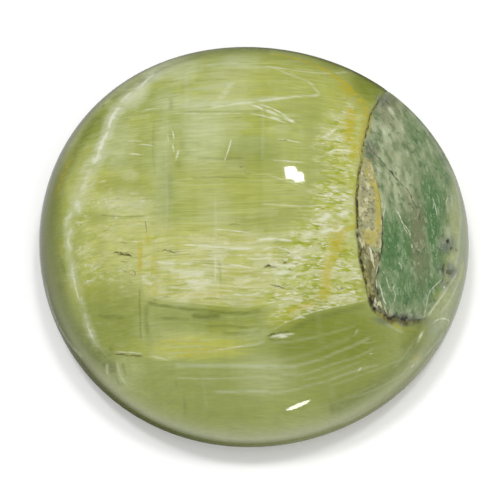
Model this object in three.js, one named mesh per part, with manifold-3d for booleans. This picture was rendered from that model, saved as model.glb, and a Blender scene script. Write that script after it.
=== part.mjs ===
// An opal cabochon: one polished stone with a domed top, a soft girdle and a flat back,
// and a patch of its host rock left in one flank.
//
// Units are millimetres. The flat back lies on z = 0 and the dome rises along +Z. The
// longer way across the stone runs along X. The origin is the middle of the back.

import * as THREE from "three";
import { mergeVertices } from "three/addons/utils/BufferGeometryUtils.js";
import Module from "manifold-3d";

// Driving dimensions
const LENGTH = 24.0;
const WIDTH = 22.8;
const HEIGHT = 9.8;
const GIRDLE_HEIGHT = 1.9; // level at which the stone is widest
const BACK_INSET = 1.7; // from the girdle in to the edge of the flat back

// Ground by hand, so the oval is a little turned, a little egg-shaped and a little square.
const OVAL_TURN = THREE.MathUtils.degToRad(-4);
const EGG = 0.095;
const EGG_TURN = THREE.MathUtils.degToRad(11.5);
const SQUARENESS = -0.03;

// Facets of the solid
const SIDES = 96;
const DOME_RINGS = 24;
const UNDERSIDE_RINGS = 6;

// The host rock is softer than the opal, so polishing has left it a little low, behind a
// groove along the contact.
const LEDGE_DEPTH = 0.12;
const GROOVE_RADIUS = 0.2;
const GROOVE_STEPS = 48;
const GROOVE_SIDES = 10;
const STEPS_BETWEEN_POINTS = 6; // along the border of the host rock
const HOST_ROCK_FLOOR = 2.4; // the ledge stops above the girdle
const CONTACT = [
  [7.48, 7.78],
  [6.47, 5.63],
  [6.15, 4.08],
  [5.79, 2.21],
  [5.6, 0.69],
  [5.64, -0.96],
  [5.85, -2.66],
  [6.45, -4.81],
  [7.11, -5.38],
  [8.23, -5.6],
  [9.43, -5.12],
];
const OUTER_BORDER = [
  [10.28, -3.73],
  [11.1, -2.0],
  [11.3, -0.4],
  [11.35, 1.8],
  [10.9, 4.2],
  [9.6, 6.5],
];

// Open pits in the host rock's border, and the long one in the opal: where each is, its
// length, width and depth, and how its length is turned about Z.
const PITS = [
  { at: [10.75, -0.85], size: [0.75, 0.3, 0.22], turn: -60 },
  { at: [10.6, -2.5], size: [0.9, 0.36, 0.24], turn: 75 },
  { at: [8.05, -5.52], size: [1.0, 0.34, 0.26], turn: -8 },
  { at: [7.05, -5.3], size: [0.8, 0.3, 0.22], turn: -35 },
  { at: [1.65, -6.46], size: [1.15, 0.3, 0.14], turn: 3 },
];
const PIT_SIDES = 14;
const PIT_RINGS = 8;

// A shallow dent in the girdle, 0.1 mm deep, beside the host rock
const NICK = { at: [12.55, 0.45, 2.2], size: [1.2, 2.4, 4.0] };

const wasm = await Module();
wasm.setup();

// The girdle's distance from the middle of the stone, in the direction of an angle.
function girdleRadius(angle) {
  const mean = (LENGTH + WIDTH) / 4;
  const oval = (LENGTH - WIDTH) / 4;
  return (
    mean +
    oval * Math.cos(2 * (angle - OVAL_TURN)) +
    EGG * Math.cos(3 * (angle - EGG_TURN)) +
    SQUARENESS * Math.cos(4 * angle)
  );
}

// The height of the dome's surface over a point of the back.
function domeHeight(x, y) {
  const share = Math.hypot(x, y) / girdleRadius(Math.atan2(y, x));
  const rise = Math.sqrt(Math.max(0, 1 - share ** 2));
  return GIRDLE_HEIGHT + (HEIGHT - GIRDLE_HEIGHT) * rise;
}

// Half of the stone's cross-section, from the middle of the back round to the top. Its
// radius is the girdle's mean radius, which the outline then stretches.
function profile(lowered) {
  const radius = (LENGTH + WIDTH) / 4 - lowered;
  const points = [new THREE.Vector2(0, 0)];
  for (let i = 0; i < UNDERSIDE_RINGS; i++) {
    const turn = (Math.PI / 2) * (1 - i / UNDERSIDE_RINGS);
    points.push(
      new THREE.Vector2(
        radius - BACK_INSET * (1 - Math.cos(turn)),
        GIRDLE_HEIGHT * (1 - Math.sin(turn)),
      ),
    );
  }
  for (let i = 0; i < DOME_RINGS; i++) {
    const turn = (Math.PI / 2) * (i / DOME_RINGS);
    const rise = HEIGHT - GIRDLE_HEIGHT - lowered;
    points.push(
      new THREE.Vector2(radius * Math.cos(turn), GIRDLE_HEIGHT + rise * Math.sin(turn)),
    );
  }
  points.push(new THREE.Vector2(0, HEIGHT - lowered));
  return points;
}

// The whole stone as it would be without the host rock, or the same stone lowered all over.
function dome(lowered) {
  const geometry = new THREE.LatheGeometry(profile(lowered), SIDES);
  geometry.rotateX(Math.PI / 2);
  const position = geometry.getAttribute("position");
  const mean = (LENGTH + WIDTH) / 4;
  for (let i = 0; i < position.count; i++) {
    const x = position.getX(i);
    const y = position.getY(i);
    const stretch = girdleRadius(Math.atan2(y, x)) / mean;
    position.setXY(i, x * stretch, y * stretch);
  }
  return geometry;
}

// A closed mesh as a solid that can be cut and joined.
function solid(geometry) {
  const bare = geometry.clone();
  bare.deleteAttribute("normal");
  bare.deleteAttribute("uv");
  const merged = mergeVertices(bare, 1e-4);
  return new wasm.Manifold(
    new wasm.Mesh({
      numProp: 3,
      vertProperties: new Float32Array(merged.getAttribute("position").array),
      triVerts: new Uint32Array(merged.index.array),
    }),
  );
}

function geometryOf(manifold) {
  const { vertProperties, triVerts } = manifold.getMesh();
  const geometry = new THREE.BufferGeometry();
  geometry.setAttribute("position", new THREE.BufferAttribute(vertProperties, 3));
  geometry.setIndex(new THREE.BufferAttribute(triVerts, 1));
  return geometry;
}

// An upright prism over the patch of host rock.
function hostRockPrism() {
  const corners = [...CONTACT, ...OUTER_BORDER].map(([x, y]) => new THREE.Vector2(x, y));
  const ring = new THREE.CatmullRomCurve3(
    corners.map(({ x, y }) => new THREE.Vector3(x, y, 0)),
    true,
  );
  const outline = ring.getPoints(STEPS_BETWEEN_POINTS * corners.length).slice(0, -1);
  const shape = new THREE.Shape(outline.map(({ x, y }) => new THREE.Vector2(x, y)));
  const geometry = new THREE.ExtrudeGeometry(shape, {
    depth: HEIGHT,
    bevelEnabled: false,
  });
  geometry.translate(0, 0, HOST_ROCK_FLOOR);
  return geometry;
}

// A round rod that lies half sunk in the dome along the contact.
function contactRod() {
  const path = new THREE.CatmullRomCurve3(
    CONTACT.map(([x, y]) => new THREE.Vector3(x, y, domeHeight(x, y))),
  );
  const section = new THREE.Shape(
    Array.from({ length: GROOVE_SIDES }, (_, i) => {
      const turn = (2 * Math.PI * i) / GROOVE_SIDES;
      return new THREE.Vector2(
        GROOVE_RADIUS * Math.cos(turn),
        GROOVE_RADIUS * Math.sin(turn),
      );
    }),
  );
  return new THREE.ExtrudeGeometry(section, {
    steps: GROOVE_STEPS,
    extrudePath: path,
  });
}

// A rounded lump whose lower half is the pit.
function pitLump({ at: [x, y], size: [length, width, depth], turn }) {
  const geometry = new THREE.SphereGeometry(1, PIT_SIDES, PIT_RINGS);
  geometry.scale(length / 2, width / 2, depth);
  geometry.rotateZ(THREE.MathUtils.degToRad(turn));
  geometry.translate(x, y, domeHeight(x, y));
  return geometry;
}

function nickLump() {
  const geometry = new THREE.SphereGeometry(1, PIT_SIDES, PIT_RINGS);
  geometry.scale(NICK.size[0] / 2, NICK.size[1] / 2, NICK.size[2] / 2);
  geometry.translate(...NICK.at);
  return geometry;
}

function stoneGeometry() {
  const aboveLedge = solid(hostRockPrism()).subtract(solid(dome(LEDGE_DEPTH)));
  let stone = solid(dome(0)).subtract(aboveLedge);
  stone = stone.subtract(solid(contactRod()));
  for (const pit of PITS) {
    stone = stone.subtract(solid(pitLump(pit)));
  }
  stone = stone.subtract(solid(nickLump()));
  return geometryOf(stone);
}

// Puts the origin under the middle of the stone.
function centred(geometry) {
  geometry.computeBoundingBox();
  const middle = geometry.boundingBox.getCenter(new THREE.Vector3());
  geometry.translate(-middle.x, -middle.y, 0);
  geometry.computeVertexNormals();
  return geometry;
}

const opal = new THREE.MeshStandardMaterial({
  color: "#a3ad5c",
  roughness: 0.12,
  metalness: 0,
});

const stone = new THREE.Mesh(centred(stoneGeometry()), opal);
stone.name = "opal_cabochon";

const cabochon = new THREE.Group();
cabochon.add(stone);

export default cabochon;
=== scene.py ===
import math

import bmesh
import bpy
import numpy as np
from mathutils import Matrix, Vector


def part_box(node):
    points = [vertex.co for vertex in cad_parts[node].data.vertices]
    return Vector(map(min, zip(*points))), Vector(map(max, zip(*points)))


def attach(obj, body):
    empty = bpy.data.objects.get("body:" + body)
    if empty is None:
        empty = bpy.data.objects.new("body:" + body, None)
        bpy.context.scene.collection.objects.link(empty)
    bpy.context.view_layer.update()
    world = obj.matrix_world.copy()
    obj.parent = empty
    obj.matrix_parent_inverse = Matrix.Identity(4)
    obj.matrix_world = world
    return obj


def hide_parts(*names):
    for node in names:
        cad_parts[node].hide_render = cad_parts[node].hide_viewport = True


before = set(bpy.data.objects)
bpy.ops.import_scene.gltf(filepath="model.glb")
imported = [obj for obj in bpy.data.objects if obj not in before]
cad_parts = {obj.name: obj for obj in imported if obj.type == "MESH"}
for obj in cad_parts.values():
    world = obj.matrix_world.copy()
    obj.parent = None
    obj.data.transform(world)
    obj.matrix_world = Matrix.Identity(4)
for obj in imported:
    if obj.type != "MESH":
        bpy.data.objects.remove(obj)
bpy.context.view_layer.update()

MM = 0.001

# The stone's outline and cross-section, in mm, as the CAD makes them
box_low, box_high = (np.array(corner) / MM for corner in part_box("opal_cabochon"))
HEIGHT = box_high[2] - box_low[2]
LENGTH = 24.0
WIDTH = 22.8
GIRDLE_HEIGHT = 1.9
DOME_RISE = HEIGHT - GIRDLE_HEIGHT
BACK_INSET = 1.7
OVAL_TURN = math.radians(-4)
EGG = 0.095
EGG_TURN = math.radians(11.5)
SQUARENESS = -0.03
OUTLINE_STEPS = 1440

# Its relief. Lengths are in mm.
LEDGE_DEPTH = 0.12
LEDGE_SLOPE = 0.4
GROOVE_DEPTH = 0.16
GROOVE_WIDTH = 0.14
GROOVE_START = (0.5, 3.0)  # along the contact, from where it opens to where it is full
PIT_DEPTH = 0.12
PIT_SPREAD = 1.3  # by the half width of its crack
PIT_HALF_WIDTH = (0.07, 0.1)  # a finer crack is no pit, and a wider one is a full pit
RELIEF_RISE = 0.6  # from the girdle up to where the relief is full
DENT_CENTRE = np.array([12.55, 0.45, 2.2])
DENT_SIZE = np.array([1.2, 2.4, 4.0])
DENT_DEPTH = 0.1
DENT_FLOOR = 0.6  # the square of the share of its reach up to which it is full

# The camera looks down at the stone from the front. Lengths are in mm.
CAMERA_ELEVATION = math.radians(75)
CAMERA_DISTANCE = 156.0
AIM = np.array([-0.143, -0.8, 3.786])
RIGHT = np.array([1.0, 0.0, 0.0])
UP = np.array([0.0, math.sin(CAMERA_ELEVATION), math.cos(CAMERA_ELEVATION)])
BACK = np.array([0.0, -math.cos(CAMERA_ELEVATION), math.sin(CAMERA_ELEVATION)])
EYE = AIM + CAMERA_DISTANCE * BACK
SENSOR = 36.0
FRAME_WIDTH = 27.52
FRAME_PIXELS = 500
HALF_FRAME = FRAME_PIXELS / 2
PIXELS_PER_MM = FRAME_PIXELS / FRAME_WIDTH
CLIP_START = 5.0

# The mesh starts as a sphere of radius 1. It is cut finer from just under its girdle
# upwards, and once more round the host rock.
SPHERE_LEVEL = 6
DOME_CUTS = 2
DOME_FROM = -0.04
ROCK_CUTS = 1
ROCK_LEFT = 0.42
ROCK_FRONT = -0.56
ROCK_BACK = 0.72

# Marks on the stone. Every point is a pixel of the 500 by 500 picture, counted from its top
# left corner.
CONTACT = [
    (389, 90), (381, 97), (376, 105), (371, 114), (369, 124), (366.5, 132), (366, 137), (364, 144),
    (362.5, 153), (362.5, 161), (360, 170), (359, 179), (358, 189), (357, 200), (358, 220),
    (357.5, 230), (360, 246), (361, 260), (364, 271), (368, 288), (370, 297), (374.5, 309),
    (383, 315), (390, 319), (400, 319), (415, 322), (426, 320),
]
ROCK_BORDER = [
    (424, 326), (437, 306), (444, 288), (449, 268), (453, 245), (454, 220), (455, 195), (460, 170),
    (480, 150), (470, 60),
]
FAR_RIGHT = [(490, 330), (520, 250), (500, 60), (400, 60)]
FAR_LEFT = [(300, 40), (300, 340)]
LEDGE_BORDER = [
    (435, 306), (441, 288), (446, 268), (450, 245), (451, 220), (450, 195), (443, 168),
    (430, 142), (412, 116), (398, 102),
]
WEDGE = [
    (363, 155), (367, 157), (372, 161), (376, 174), (379.5, 189), (382, 205), (383.6, 222),
    (383, 241), (381, 253), (374, 247), (368, 251), (361, 240), (358, 222), (357.5, 200),
    (359, 180), (361, 166),
]
BROWN_BAND = [
    (358, 232), (366, 240), (374, 250), (382, 254), (380, 268), (378, 282), (381, 296),
    (386, 308), (392, 316), (384, 316), (373, 308), (369, 295), (364, 275), (360, 255),
]
LOWER_ZONE = [
    (20, 330), (60, 345), (95, 349), (107, 351), (126, 354), (145, 356), (165, 360), (190, 356),
    (214, 353), (242, 346), (262, 341), (272, 331), (286, 323), (300, 316), (331, 308),
    (369, 301), (376, 313), (390, 321), (415, 324), (428, 322), (445, 330), (490, 340),
    (490, 490), (20, 490),
]
CREAM_BAND = [
    (148, 190), (230, 186), (300, 190), (330, 240), (320, 290), (290, 300), (263, 305),
    (242, 308), (217, 306), (188, 303), (164, 301), (150, 297), (143, 290), (142, 250),
]
LEFT_FRAY = [
    (84, 190), (104, 184), (130, 192), (150, 200), (157, 230), (152, 262), (150, 292),
    (128, 293), (104, 288), (88, 284), (78, 262), (76, 235), (78, 208),
]
FRAY = [
    (334, 106), (346, 103), (358, 106), (366, 120), (364, 145), (358, 175), (356, 210),
    (357, 240), (362, 268), (369, 304), (352, 314), (327, 322), (304, 329), (286, 336),
    (270, 318), (262, 290), (262, 262), (276, 245), (292, 228), (306, 205), (316, 180),
    (316, 150), (318, 128), (326, 114),
]
AREAS = {
    "past_contact": CONTACT + FAR_RIGHT,
    "inside_border": ROCK_BORDER + FAR_LEFT,
    "wedge": WEDGE,
    "brown_band": BROWN_BAND,
    "lower_zone": LOWER_ZONE,
    "cream_band": CREAM_BAND,
    "fray": FRAY,
}
LEFT_FRAY_MOST = 0.02  # mm inside, because the left end frays only lightly
VEIN = [
    (159, 71), (152, 75), (147.7, 79), (140, 87), (134, 95), (126, 101), (119, 107),
    (113, 116), (109, 124), (107, 134), (101, 144), (100, 155), (92, 163), (89, 172),
    (85, 185), (78, 199), (76, 207), (70, 215), (66, 222), (69, 232), (68, 242), (70, 249),
    (69, 257), (72, 266), (73, 276), (77, 288), (81, 300), (84, 311), (87, 322), (90, 331),
    (94, 341), (101, 350),
]
# Along the vein, by the share of its length: half its width in mm and its strength
VEIN_COURSE = [
    (0.0, 0.5, 0.6), (0.04, 0.5, 1.0), (0.08, 0.44, 1.0), (0.14, 0.6, 0.85), (0.19, 0.44, 1.0),
    (0.24, 0.3, 1.0), (0.33, 0.28, 1.0), (0.4, 0.42, 0.65), (0.48, 0.5, 0.6), (0.53, 0.46, 0.75),
    (0.58, 0.16, 0.65), (0.62, 0.3, 0.7), (0.7, 0.2, 0.5), (0.76, 0.28, 0.6), (0.85, 0.2, 0.35),
    (0.95, 0.24, 0.6), (1.0, 0.16, 0.4),
]

# A stroke is its width in mm, its strength and its points.
PALE_STROKES = [
    # the bright cores of the vein
    (0.2, 0.9, [(155, 73.5), (148, 79), (141, 86)]),
    (0.36, 0.75, [(133, 91), (127, 96), (120, 103)]),
    (0.18, 0.9, [(116, 110), (111, 120), (108.5, 130)]),
    (0.2, 0.9, [(108, 131), (104.5, 138), (101, 144)]),
    (0.14, 0.7, [(100, 146), (97.5, 156), (92.5, 166)]),
    (0.12, 0.5, [(88, 174), (84, 181)]),
    (0.26, 0.6, [(77, 204), (78.5, 209), (80, 213)]),
    (0.26, 0.65, [(70.5, 229), (71.5, 233)]),
    (0.12, 0.7, [(73.5, 276), (75.5, 287), (79.5, 301)]),
    (0.1, 0.6, [(87, 325), (90, 332), (94, 340)]),
    # the pointed wisp near the top, and the line above it
    (0.2, 0.6, [(209, 107), (220, 106), (255, 102), (283, 98), (300, 96), (311, 96), (321, 94.5)]),
    (0.2, 0.35, [(321, 94.5), (316, 90), (309, 82), (299, 78), (290, 72.5)]),
    (0.2, 0.3, [(238, 66), (256, 67), (274, 68), (287, 73.5), (299, 78)]),
    (0.12, 0.55, [(264, 66), (280, 68), (299, 71), (318, 73), (332, 73.5)]),
    (0.2, 0.45, [(335, 73.5), (348, 72)]),
    (0.3, 0.3, [(205, 66), (220, 64), (240, 62.5)]),
    (0.45, 0.35, [(234, 80), (224, 94), (211, 107)]),
    # flecks under it
    (0.13, 0.9, [(249, 104.5), (257, 106.5), (264, 110)]),
    (0.18, 1.0, [(265, 110), (272, 112.5), (279, 115.5)]),
    (0.2, 1.0, [(284, 117.5), (290, 120), (295, 122.5)]),
    (0.08, 0.8, [(248, 113.5), (262, 115.5), (274, 119), (287, 123.5)]),
    (0.1, 0.8, [(258, 104), (270, 107.5), (281, 113), (287, 117)]),
    (0.12, 0.8, [(268, 116), (281, 120)]),
    (0.06, 0.6, [(174, 113.5), (215, 114), (244, 113.5)]),
    # short scratches in the upper left
    (0.07, 0.7, [(144, 110), (150, 109), (158, 108.5)]),
    (0.07, 0.6, [(126, 142), (134, 141), (142, 141.5)]),
    (0.07, 0.7, [(137, 145), (145, 144.5), (154, 146)]),
    (0.09, 0.85, [(127, 154), (134, 154), (141, 155)]),
    (0.08, 0.95, [(172, 130), (173.5, 135), (174, 141)]),
    (0.07, 0.7, [(167.5, 134), (168.5, 142)]),
    (0.08, 0.9, [(172.5, 144), (174, 152)]),
    (0.12, 0.95, [(178.5, 150), (177, 156), (175.5, 160)]),
    (0.08, 0.85, [(231.5, 139), (229, 148), (224.5, 161)]),
    # right of the middle, towards the frayed fibres
    (0.08, 0.6, [(284, 139), (292, 141), (302, 143)]),
    (0.08, 0.7, [(272, 160), (286, 161), (303, 162.5)]),
    (0.06, 0.5, [(268, 175), (284, 180), (301, 186)]),
    (0.07, 0.5, [(262, 204), (300, 206), (330, 205)]),
    (0.12, 0.8, [(322, 137), (330, 133), (338, 127)]),
    (0.12, 0.75, [(326, 154), (336, 150), (352, 151)]),
    (0.16, 0.85, [(320, 233), (330, 230), (337, 231), (344, 225)]),
    (0.14, 0.8, [(256, 240), (272, 239), (294, 241)]),
    (0.12, 0.7, [(262, 250), (276, 247), (292, 252), (300, 250)]),
    (0.3, 0.75, [(318, 222), (324, 218), (332, 214)]),
    (0.28, 0.7, [(338, 217), (344, 213), (351, 212)]),
    (0.3, 0.6, [(302, 238), (308, 235), (314, 233)]),
    (0.4, 0.7, [(272, 279), (280, 275), (288, 268), (294, 262)]),
    (0.3, 0.7, [(272, 262), (280, 266), (291, 275)]),
    # the cream band
    (0.06, 0.75, [(214, 229), (231, 230.5), (250, 232.5)]),
    (0.09, 0.75, [(184, 245), (207, 246), (232, 248.5), (254, 249)]),
    (0.1, 0.9, [(156, 262), (168, 263), (193, 264)]),
    (0.3, 0.5, [(168, 271), (186, 272), (206, 274)]),
    (0.28, 0.6, [(186, 281), (200, 282), (210, 281)]),
    (0.09, 0.75, [(228, 264), (240, 266), (254, 268)]),
    (0.13, 0.45, [(215, 254), (215.5, 268), (215, 282)]),
    (0.1, 0.5, [(168, 287), (190, 288), (208, 286)]),
    (0.1, 0.7, [(232, 294), (246, 295), (262, 293)]),
    (0.1, 0.6, [(246, 258), (258, 259), (272, 257)]),
    # the lower edge of the frayed fibres
    (0.07, 0.5, [(368, 299.5), (353, 303), (340, 306)]),
    (0.07, 0.45, [(330, 308), (322, 309.5), (303, 315)]),
    (0.12, 0.7, [(292, 320), (300, 317), (306, 318)]),
    # the long pit, whose white is a painted highlight where it mirrors the light
    (0.12, 0.9, [(270.5, 337), (279, 335.5), (287, 334.3), (295, 334)]),
    (0.26, 0.9, [(275, 336.5), (282, 335.8), (289, 335)]),
    # flecks in the lower zone
    (0.07, 0.6, [(217, 350), (232, 347.5), (244, 346)]),
    (0.07, 0.6, [(116, 351.5), (130, 352.5), (143, 353.5)]),
    (0.09, 0.6, [(150, 355.5), (160, 358), (168, 360)]),
    # painted glints
    (0.09, 0.8, [(355.5, 332.5), (358, 329.5)]),
    (0.13, 0.95, [(358.5, 370.5), (361, 368)]),
    (0.08, 0.8, [(370, 354), (372.5, 353.5)]),
    (0.08, 0.6, [(411, 367), (413, 366.5)]),
    # a pale hooked line
    (0.11, 0.65, [(433, 323), (438, 319.5), (444, 318.5), (449, 321), (447, 326)]),
    # a painted highlight shaped like a comma
    (0.24, 0.8, [(423.5, 331), (420, 337), (417.5, 343)]),
    # a painted glint
    (0.14, 0.5, [(412, 366), (415, 364)]),
    # the border of the host rock
    (0.07, 0.55, [(442, 279), (437, 285), (431, 293), (429, 301), (427, 309), (425, 318)]),
    (0.1, 0.45, [(446, 290), (441, 298), (434, 307), (429, 316)]),
    # in the host rock
    (0.07, 0.7, [(396, 208), (402, 218), (406, 228), (410, 234)]),
    (0.07, 0.85, [(399, 209), (403, 221), (410.5, 231), (411.5, 238)]),
    (0.1, 0.8, [(413, 244), (413.5, 248)]),
    (0.08, 0.8, [(399.5, 262), (402, 265), (403, 269)]),
    (0.07, 0.7, [(397, 283), (394.5, 289), (397, 295), (395, 303)]),
    (0.07, 0.6, [(435.5, 201), (434.5, 209)]),
    (0.07, 0.7, [(383.5, 201), (382.5, 208)]),
    (0.08, 0.8, [(369.5, 246), (373, 255), (374.5, 264)]),
    (0.07, 0.75, [(380.5, 262), (378, 269), (376.5, 277)]),
    (0.08, 0.75, [(379, 281), (382, 289), (384, 298), (388, 306)]),
    (0.42, 0.6, [(389, 104), (392, 109), (395, 114)]),
    (0.24, 0.5, [(383, 126), (386, 134)]),
    (0.3, 0.35, [(376, 118), (379, 124)]),
    (0.2, 0.4, [(408, 148), (410, 156)]),
    (0.24, 0.35, [(378, 166), (383, 172)]),
    (0.2, 0.4, [(426, 138), (430, 146)]),
    (0.2, 0.35, [(402, 124), (405, 131)]),
    # a painted glint on the pit below the rock
    (0.16, 0.7, [(406, 319.5), (408, 323)]),
    (0.16, 0.7, [(443.5, 286), (445, 288)]),
    (0.09, 0.6, [(434, 196), (437, 206), (439, 216)]),
    (0.07, 0.6, [(448, 196), (447, 204)]),
    (0.09, 0.6, [(386, 204), (385, 212), (384, 222)]),
    (0.07, 0.6, [(387, 276), (389, 284), (392, 292)]),
]

HAZE_AND_REFLECTION_STROKES = [
    # growth lines in the lower zone
    (0.2, 0.5, [(174, 365), (210, 365.5), (246, 366), (299, 366)]),
    (0.1, 0.4, [(176, 378), (220, 378.5), (262, 377)]),
    (0.16, 0.5, [(214, 392), (246, 391.5), (270, 391)]),
    (0.13, 0.2, [(270, 343), (300, 340), (327, 334), (357, 325)]),
    (0.16, 0.34, [(267, 367.5), (292, 366), (315, 361), (339, 351.5), (354, 345.5), (371, 337)]),
    (0.24, 0.16, [(262, 362), (290, 359), (314, 352), (337, 343), (352, 337)]),
    (0.13, 0.28, [(280, 374.5), (304, 374), (318, 369.5), (333, 364), (355, 357.5), (374, 348.5)]),
    (0.15, 0.34, [(267, 393), (289, 391), (311, 385), (327, 381), (339, 376.5), (361, 369), (380, 364.5)]),
    (0.13, 0.24, [(327, 387), (348, 380), (367, 373), (386, 366), (405, 357)]),
    (0.16, 0.2, [(348, 398), (368, 392.5), (386, 384), (406, 372)]),
    (0.12, 0.2, [(300, 381), (322, 376), (346, 367), (362, 361)]),
    (0.16, 0.14, [(300, 412), (330, 404), (355, 394), (378, 383)]),
    (0.12, 0.25, [(392, 369), (404, 356), (413, 343)]),
    (0.06, 0.3, [(352, 337), (361, 330)]),
    (0.06, 0.3, [(356, 341), (367, 343), (377, 341)]),
    (0.3, 0.09, [(318, 311), (320, 331), (322, 345)]),
    (0.3, 0.09, [(328, 379), (333, 395), (339, 408)]),
    (0.14, 0.12, [(203, 372), (204, 390), (208, 410)]),
    (0.1, 0.6, [(196, 354), (221, 350), (240, 346.5), (255, 344.5), (266, 341)]),
    (0.16, 0.6, [(107.5, 363), (107, 370), (108, 376)]),
    (0.16, 0.6, [(117, 360), (119, 372), (127, 386)]),
    # lines across the fibres
    (0.1, 0.3, [(215, 196), (216, 230), (216, 262), (215, 284)]),
    (0.14, 0.2, [(168, 120), (166, 160), (167, 200), (166, 232)]),
    (0.12, 0.2, [(262, 100), (263, 130), (262, 160)]),
    (0.2, 0.25, [(188, 70), (186, 90), (188, 104)]),
    # wide pale fibres over the top
    (0.24, 0.45, [(180, 106), (215, 104), (250, 100), (280, 97)]),
    (0.3, 0.35, [(184, 89), (210, 88), (232, 82)]),
    # streaks in the yellow patch
    (0.08, 0.5, [(165, 340), (190, 340.5), (214, 340)]),
    (0.07, 0.5, [(164, 347), (186, 346.5), (204, 345)]),
    (0.1, 0.4, [(166, 353.5), (184, 352), (206, 349)]),
    # round the lower end of the host rock
    (0.14, 0.4, [(385, 323), (396, 329), (404, 333)]),
    (0.16, 0.6, [(457, 273), (448, 287), (437, 303), (427, 317)]),
    (0.2, 0.45, [(464, 262), (459, 280), (450, 300), (440, 314)]),
    # painted reflection: the pale band along the right rim
    (0.3, 0.42, [(455, 268), (459, 240), (460, 205), (452.5, 176), (443, 158)]),
    (0.36, 0.3, [(444, 160), (431, 138), (415, 118), (401, 104)]),
    (0.16, 0.4, [(443.5, 332), (435, 344), (425, 356)]),
    # painted reflection: the pale band just inside the edge at the front right
    (0.36, 0.32, [(340.5, 424.5), (359, 415.5), (392.6, 393.8), (422.8, 366), (444, 331)]),
    # the pale edge at the lower left, a painted reflection
    (0.32, 0.4, [(46, 285), (51, 306), (59, 326), (70, 344), (83, 358)]),
    # the broad start of the vein
    (0.5, 0.5, [(165, 73), (158, 76), (151, 81)]),
]

SHADE_STROKES = [
    # under the lower edges of the cream band and of the frayed fibres
    (0.16, 0.7, [(146, 302), (164, 306), (188, 309), (217, 312), (242, 313), (262, 310)]),
    (0.34, 0.85, [(190, 315.5), (206, 316.5), (222, 315.5)]),
    (0.14, 0.6, [(160, 318), (176, 318.5), (192, 320)]),
    (0.12, 0.5, [(206, 326), (228, 326), (250, 328)]),
    (0.2, 0.5, [(222, 333), (244, 334), (262, 331)]),
    (0.18, 0.6, [(98, 316), (112, 317), (124, 317)]),
    (0.26, 0.5, [(366, 305), (340, 312), (321, 317), (302, 324), (291, 331)]),
    # lines across the fibres
    (0.1, 0.5, [(140, 288), (139.5, 300), (140, 314), (141, 340)]),
    (0.22, 0.5, [(147, 303), (146, 318), (148, 336)]),
    (0.1, 0.3, [(220, 262), (220, 275), (221, 285)]),
    (0.1, 0.2, [(154, 120), (153, 150), (155, 176)]),
    (0.3, 0.25, [(169, 172), (169, 188), (170, 202)]),
    (0.2, 0.4, [(170.5, 97), (171, 104), (170.5, 111)]),
    (0.26, 0.3, [(182, 138), (183, 150)]),
    (0.3, 0.35, [(176, 160), (181, 168)]),
    (0.16, 0.35, [(184, 396), (185, 407), (185, 419)]),
    (0.12, 0.4, [(176, 380), (177, 388)]),
    # along the fibres
    (0.1, 0.4, [(184, 112), (220, 111.5), (262, 111)]),
    (0.08, 0.5, [(100, 215), (122, 216.5), (144, 216)]),
    (0.12, 0.4, [(196, 158), (220, 159), (244, 158)]),
    (0.1, 0.35, [(190, 178), (220, 177), (250, 178)]),
    # the bent crack in the lower left
    (0.28, 0.6, [(112, 347), (110, 353)]),
    (0.18, 0.6, [(110.5, 352), (108.5, 360)]),
    (0.22, 0.55, [(104.5, 362), (103.5, 370), (105, 377)]),
    (0.24, 0.6, [(112.5, 363), (113.5, 370), (117, 380), (121, 387)]),
    (0.18, 0.5, [(122.5, 361), (124, 370), (127, 378)]),
    # the left rim, darker for its deeper body colour and for painted shade
    (0.9, 0.6, [(62, 172), (55, 200), (51, 228), (52, 256), (57, 280)]),
    (0.9, 0.6, [(99, 115), (84, 137), (72, 158), (62, 177)]),
    (0.3, 0.7, [(60, 258), (62, 266), (65, 276)]),
    (0.34, 1.0, [(101.5, 108), (105, 104.5)]),
    # the dark band inside the pale one along the lower left: deeper body colour and painted shade
    (1.1, 1.0, [(58, 280), (62, 306), (73, 330), (88, 349), (104, 363), (118, 373)]),
    # the edge from the upper left to the top: a painted dark reflection where the dome turns away
    (1.1, 0.6, [(110, 101), (121, 92), (140, 81), (161, 69), (185, 59), (210, 53), (245, 50), (272, 51)]),
    (0.5, 0.8, [(152, 74.5), (167, 67), (185, 60.5), (203, 56)]),
    # inside the pale edge at the front right: deeper body colour and painted shade
    (1.0, 0.6, [(328, 411), (350, 402), (382.5, 382), (408.5, 357.5), (421.5, 340)]),
    # between the pale streaks at the lower end of the host rock
    (0.3, 0.5, [(432, 296), (424, 312), (419, 328), (408, 344)]),
    (0.4, 0.4, [(442, 328), (432, 344), (420, 356)]),
    (0.5, 0.4, [(400, 346), (410, 347), (418, 352)]),
]

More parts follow.
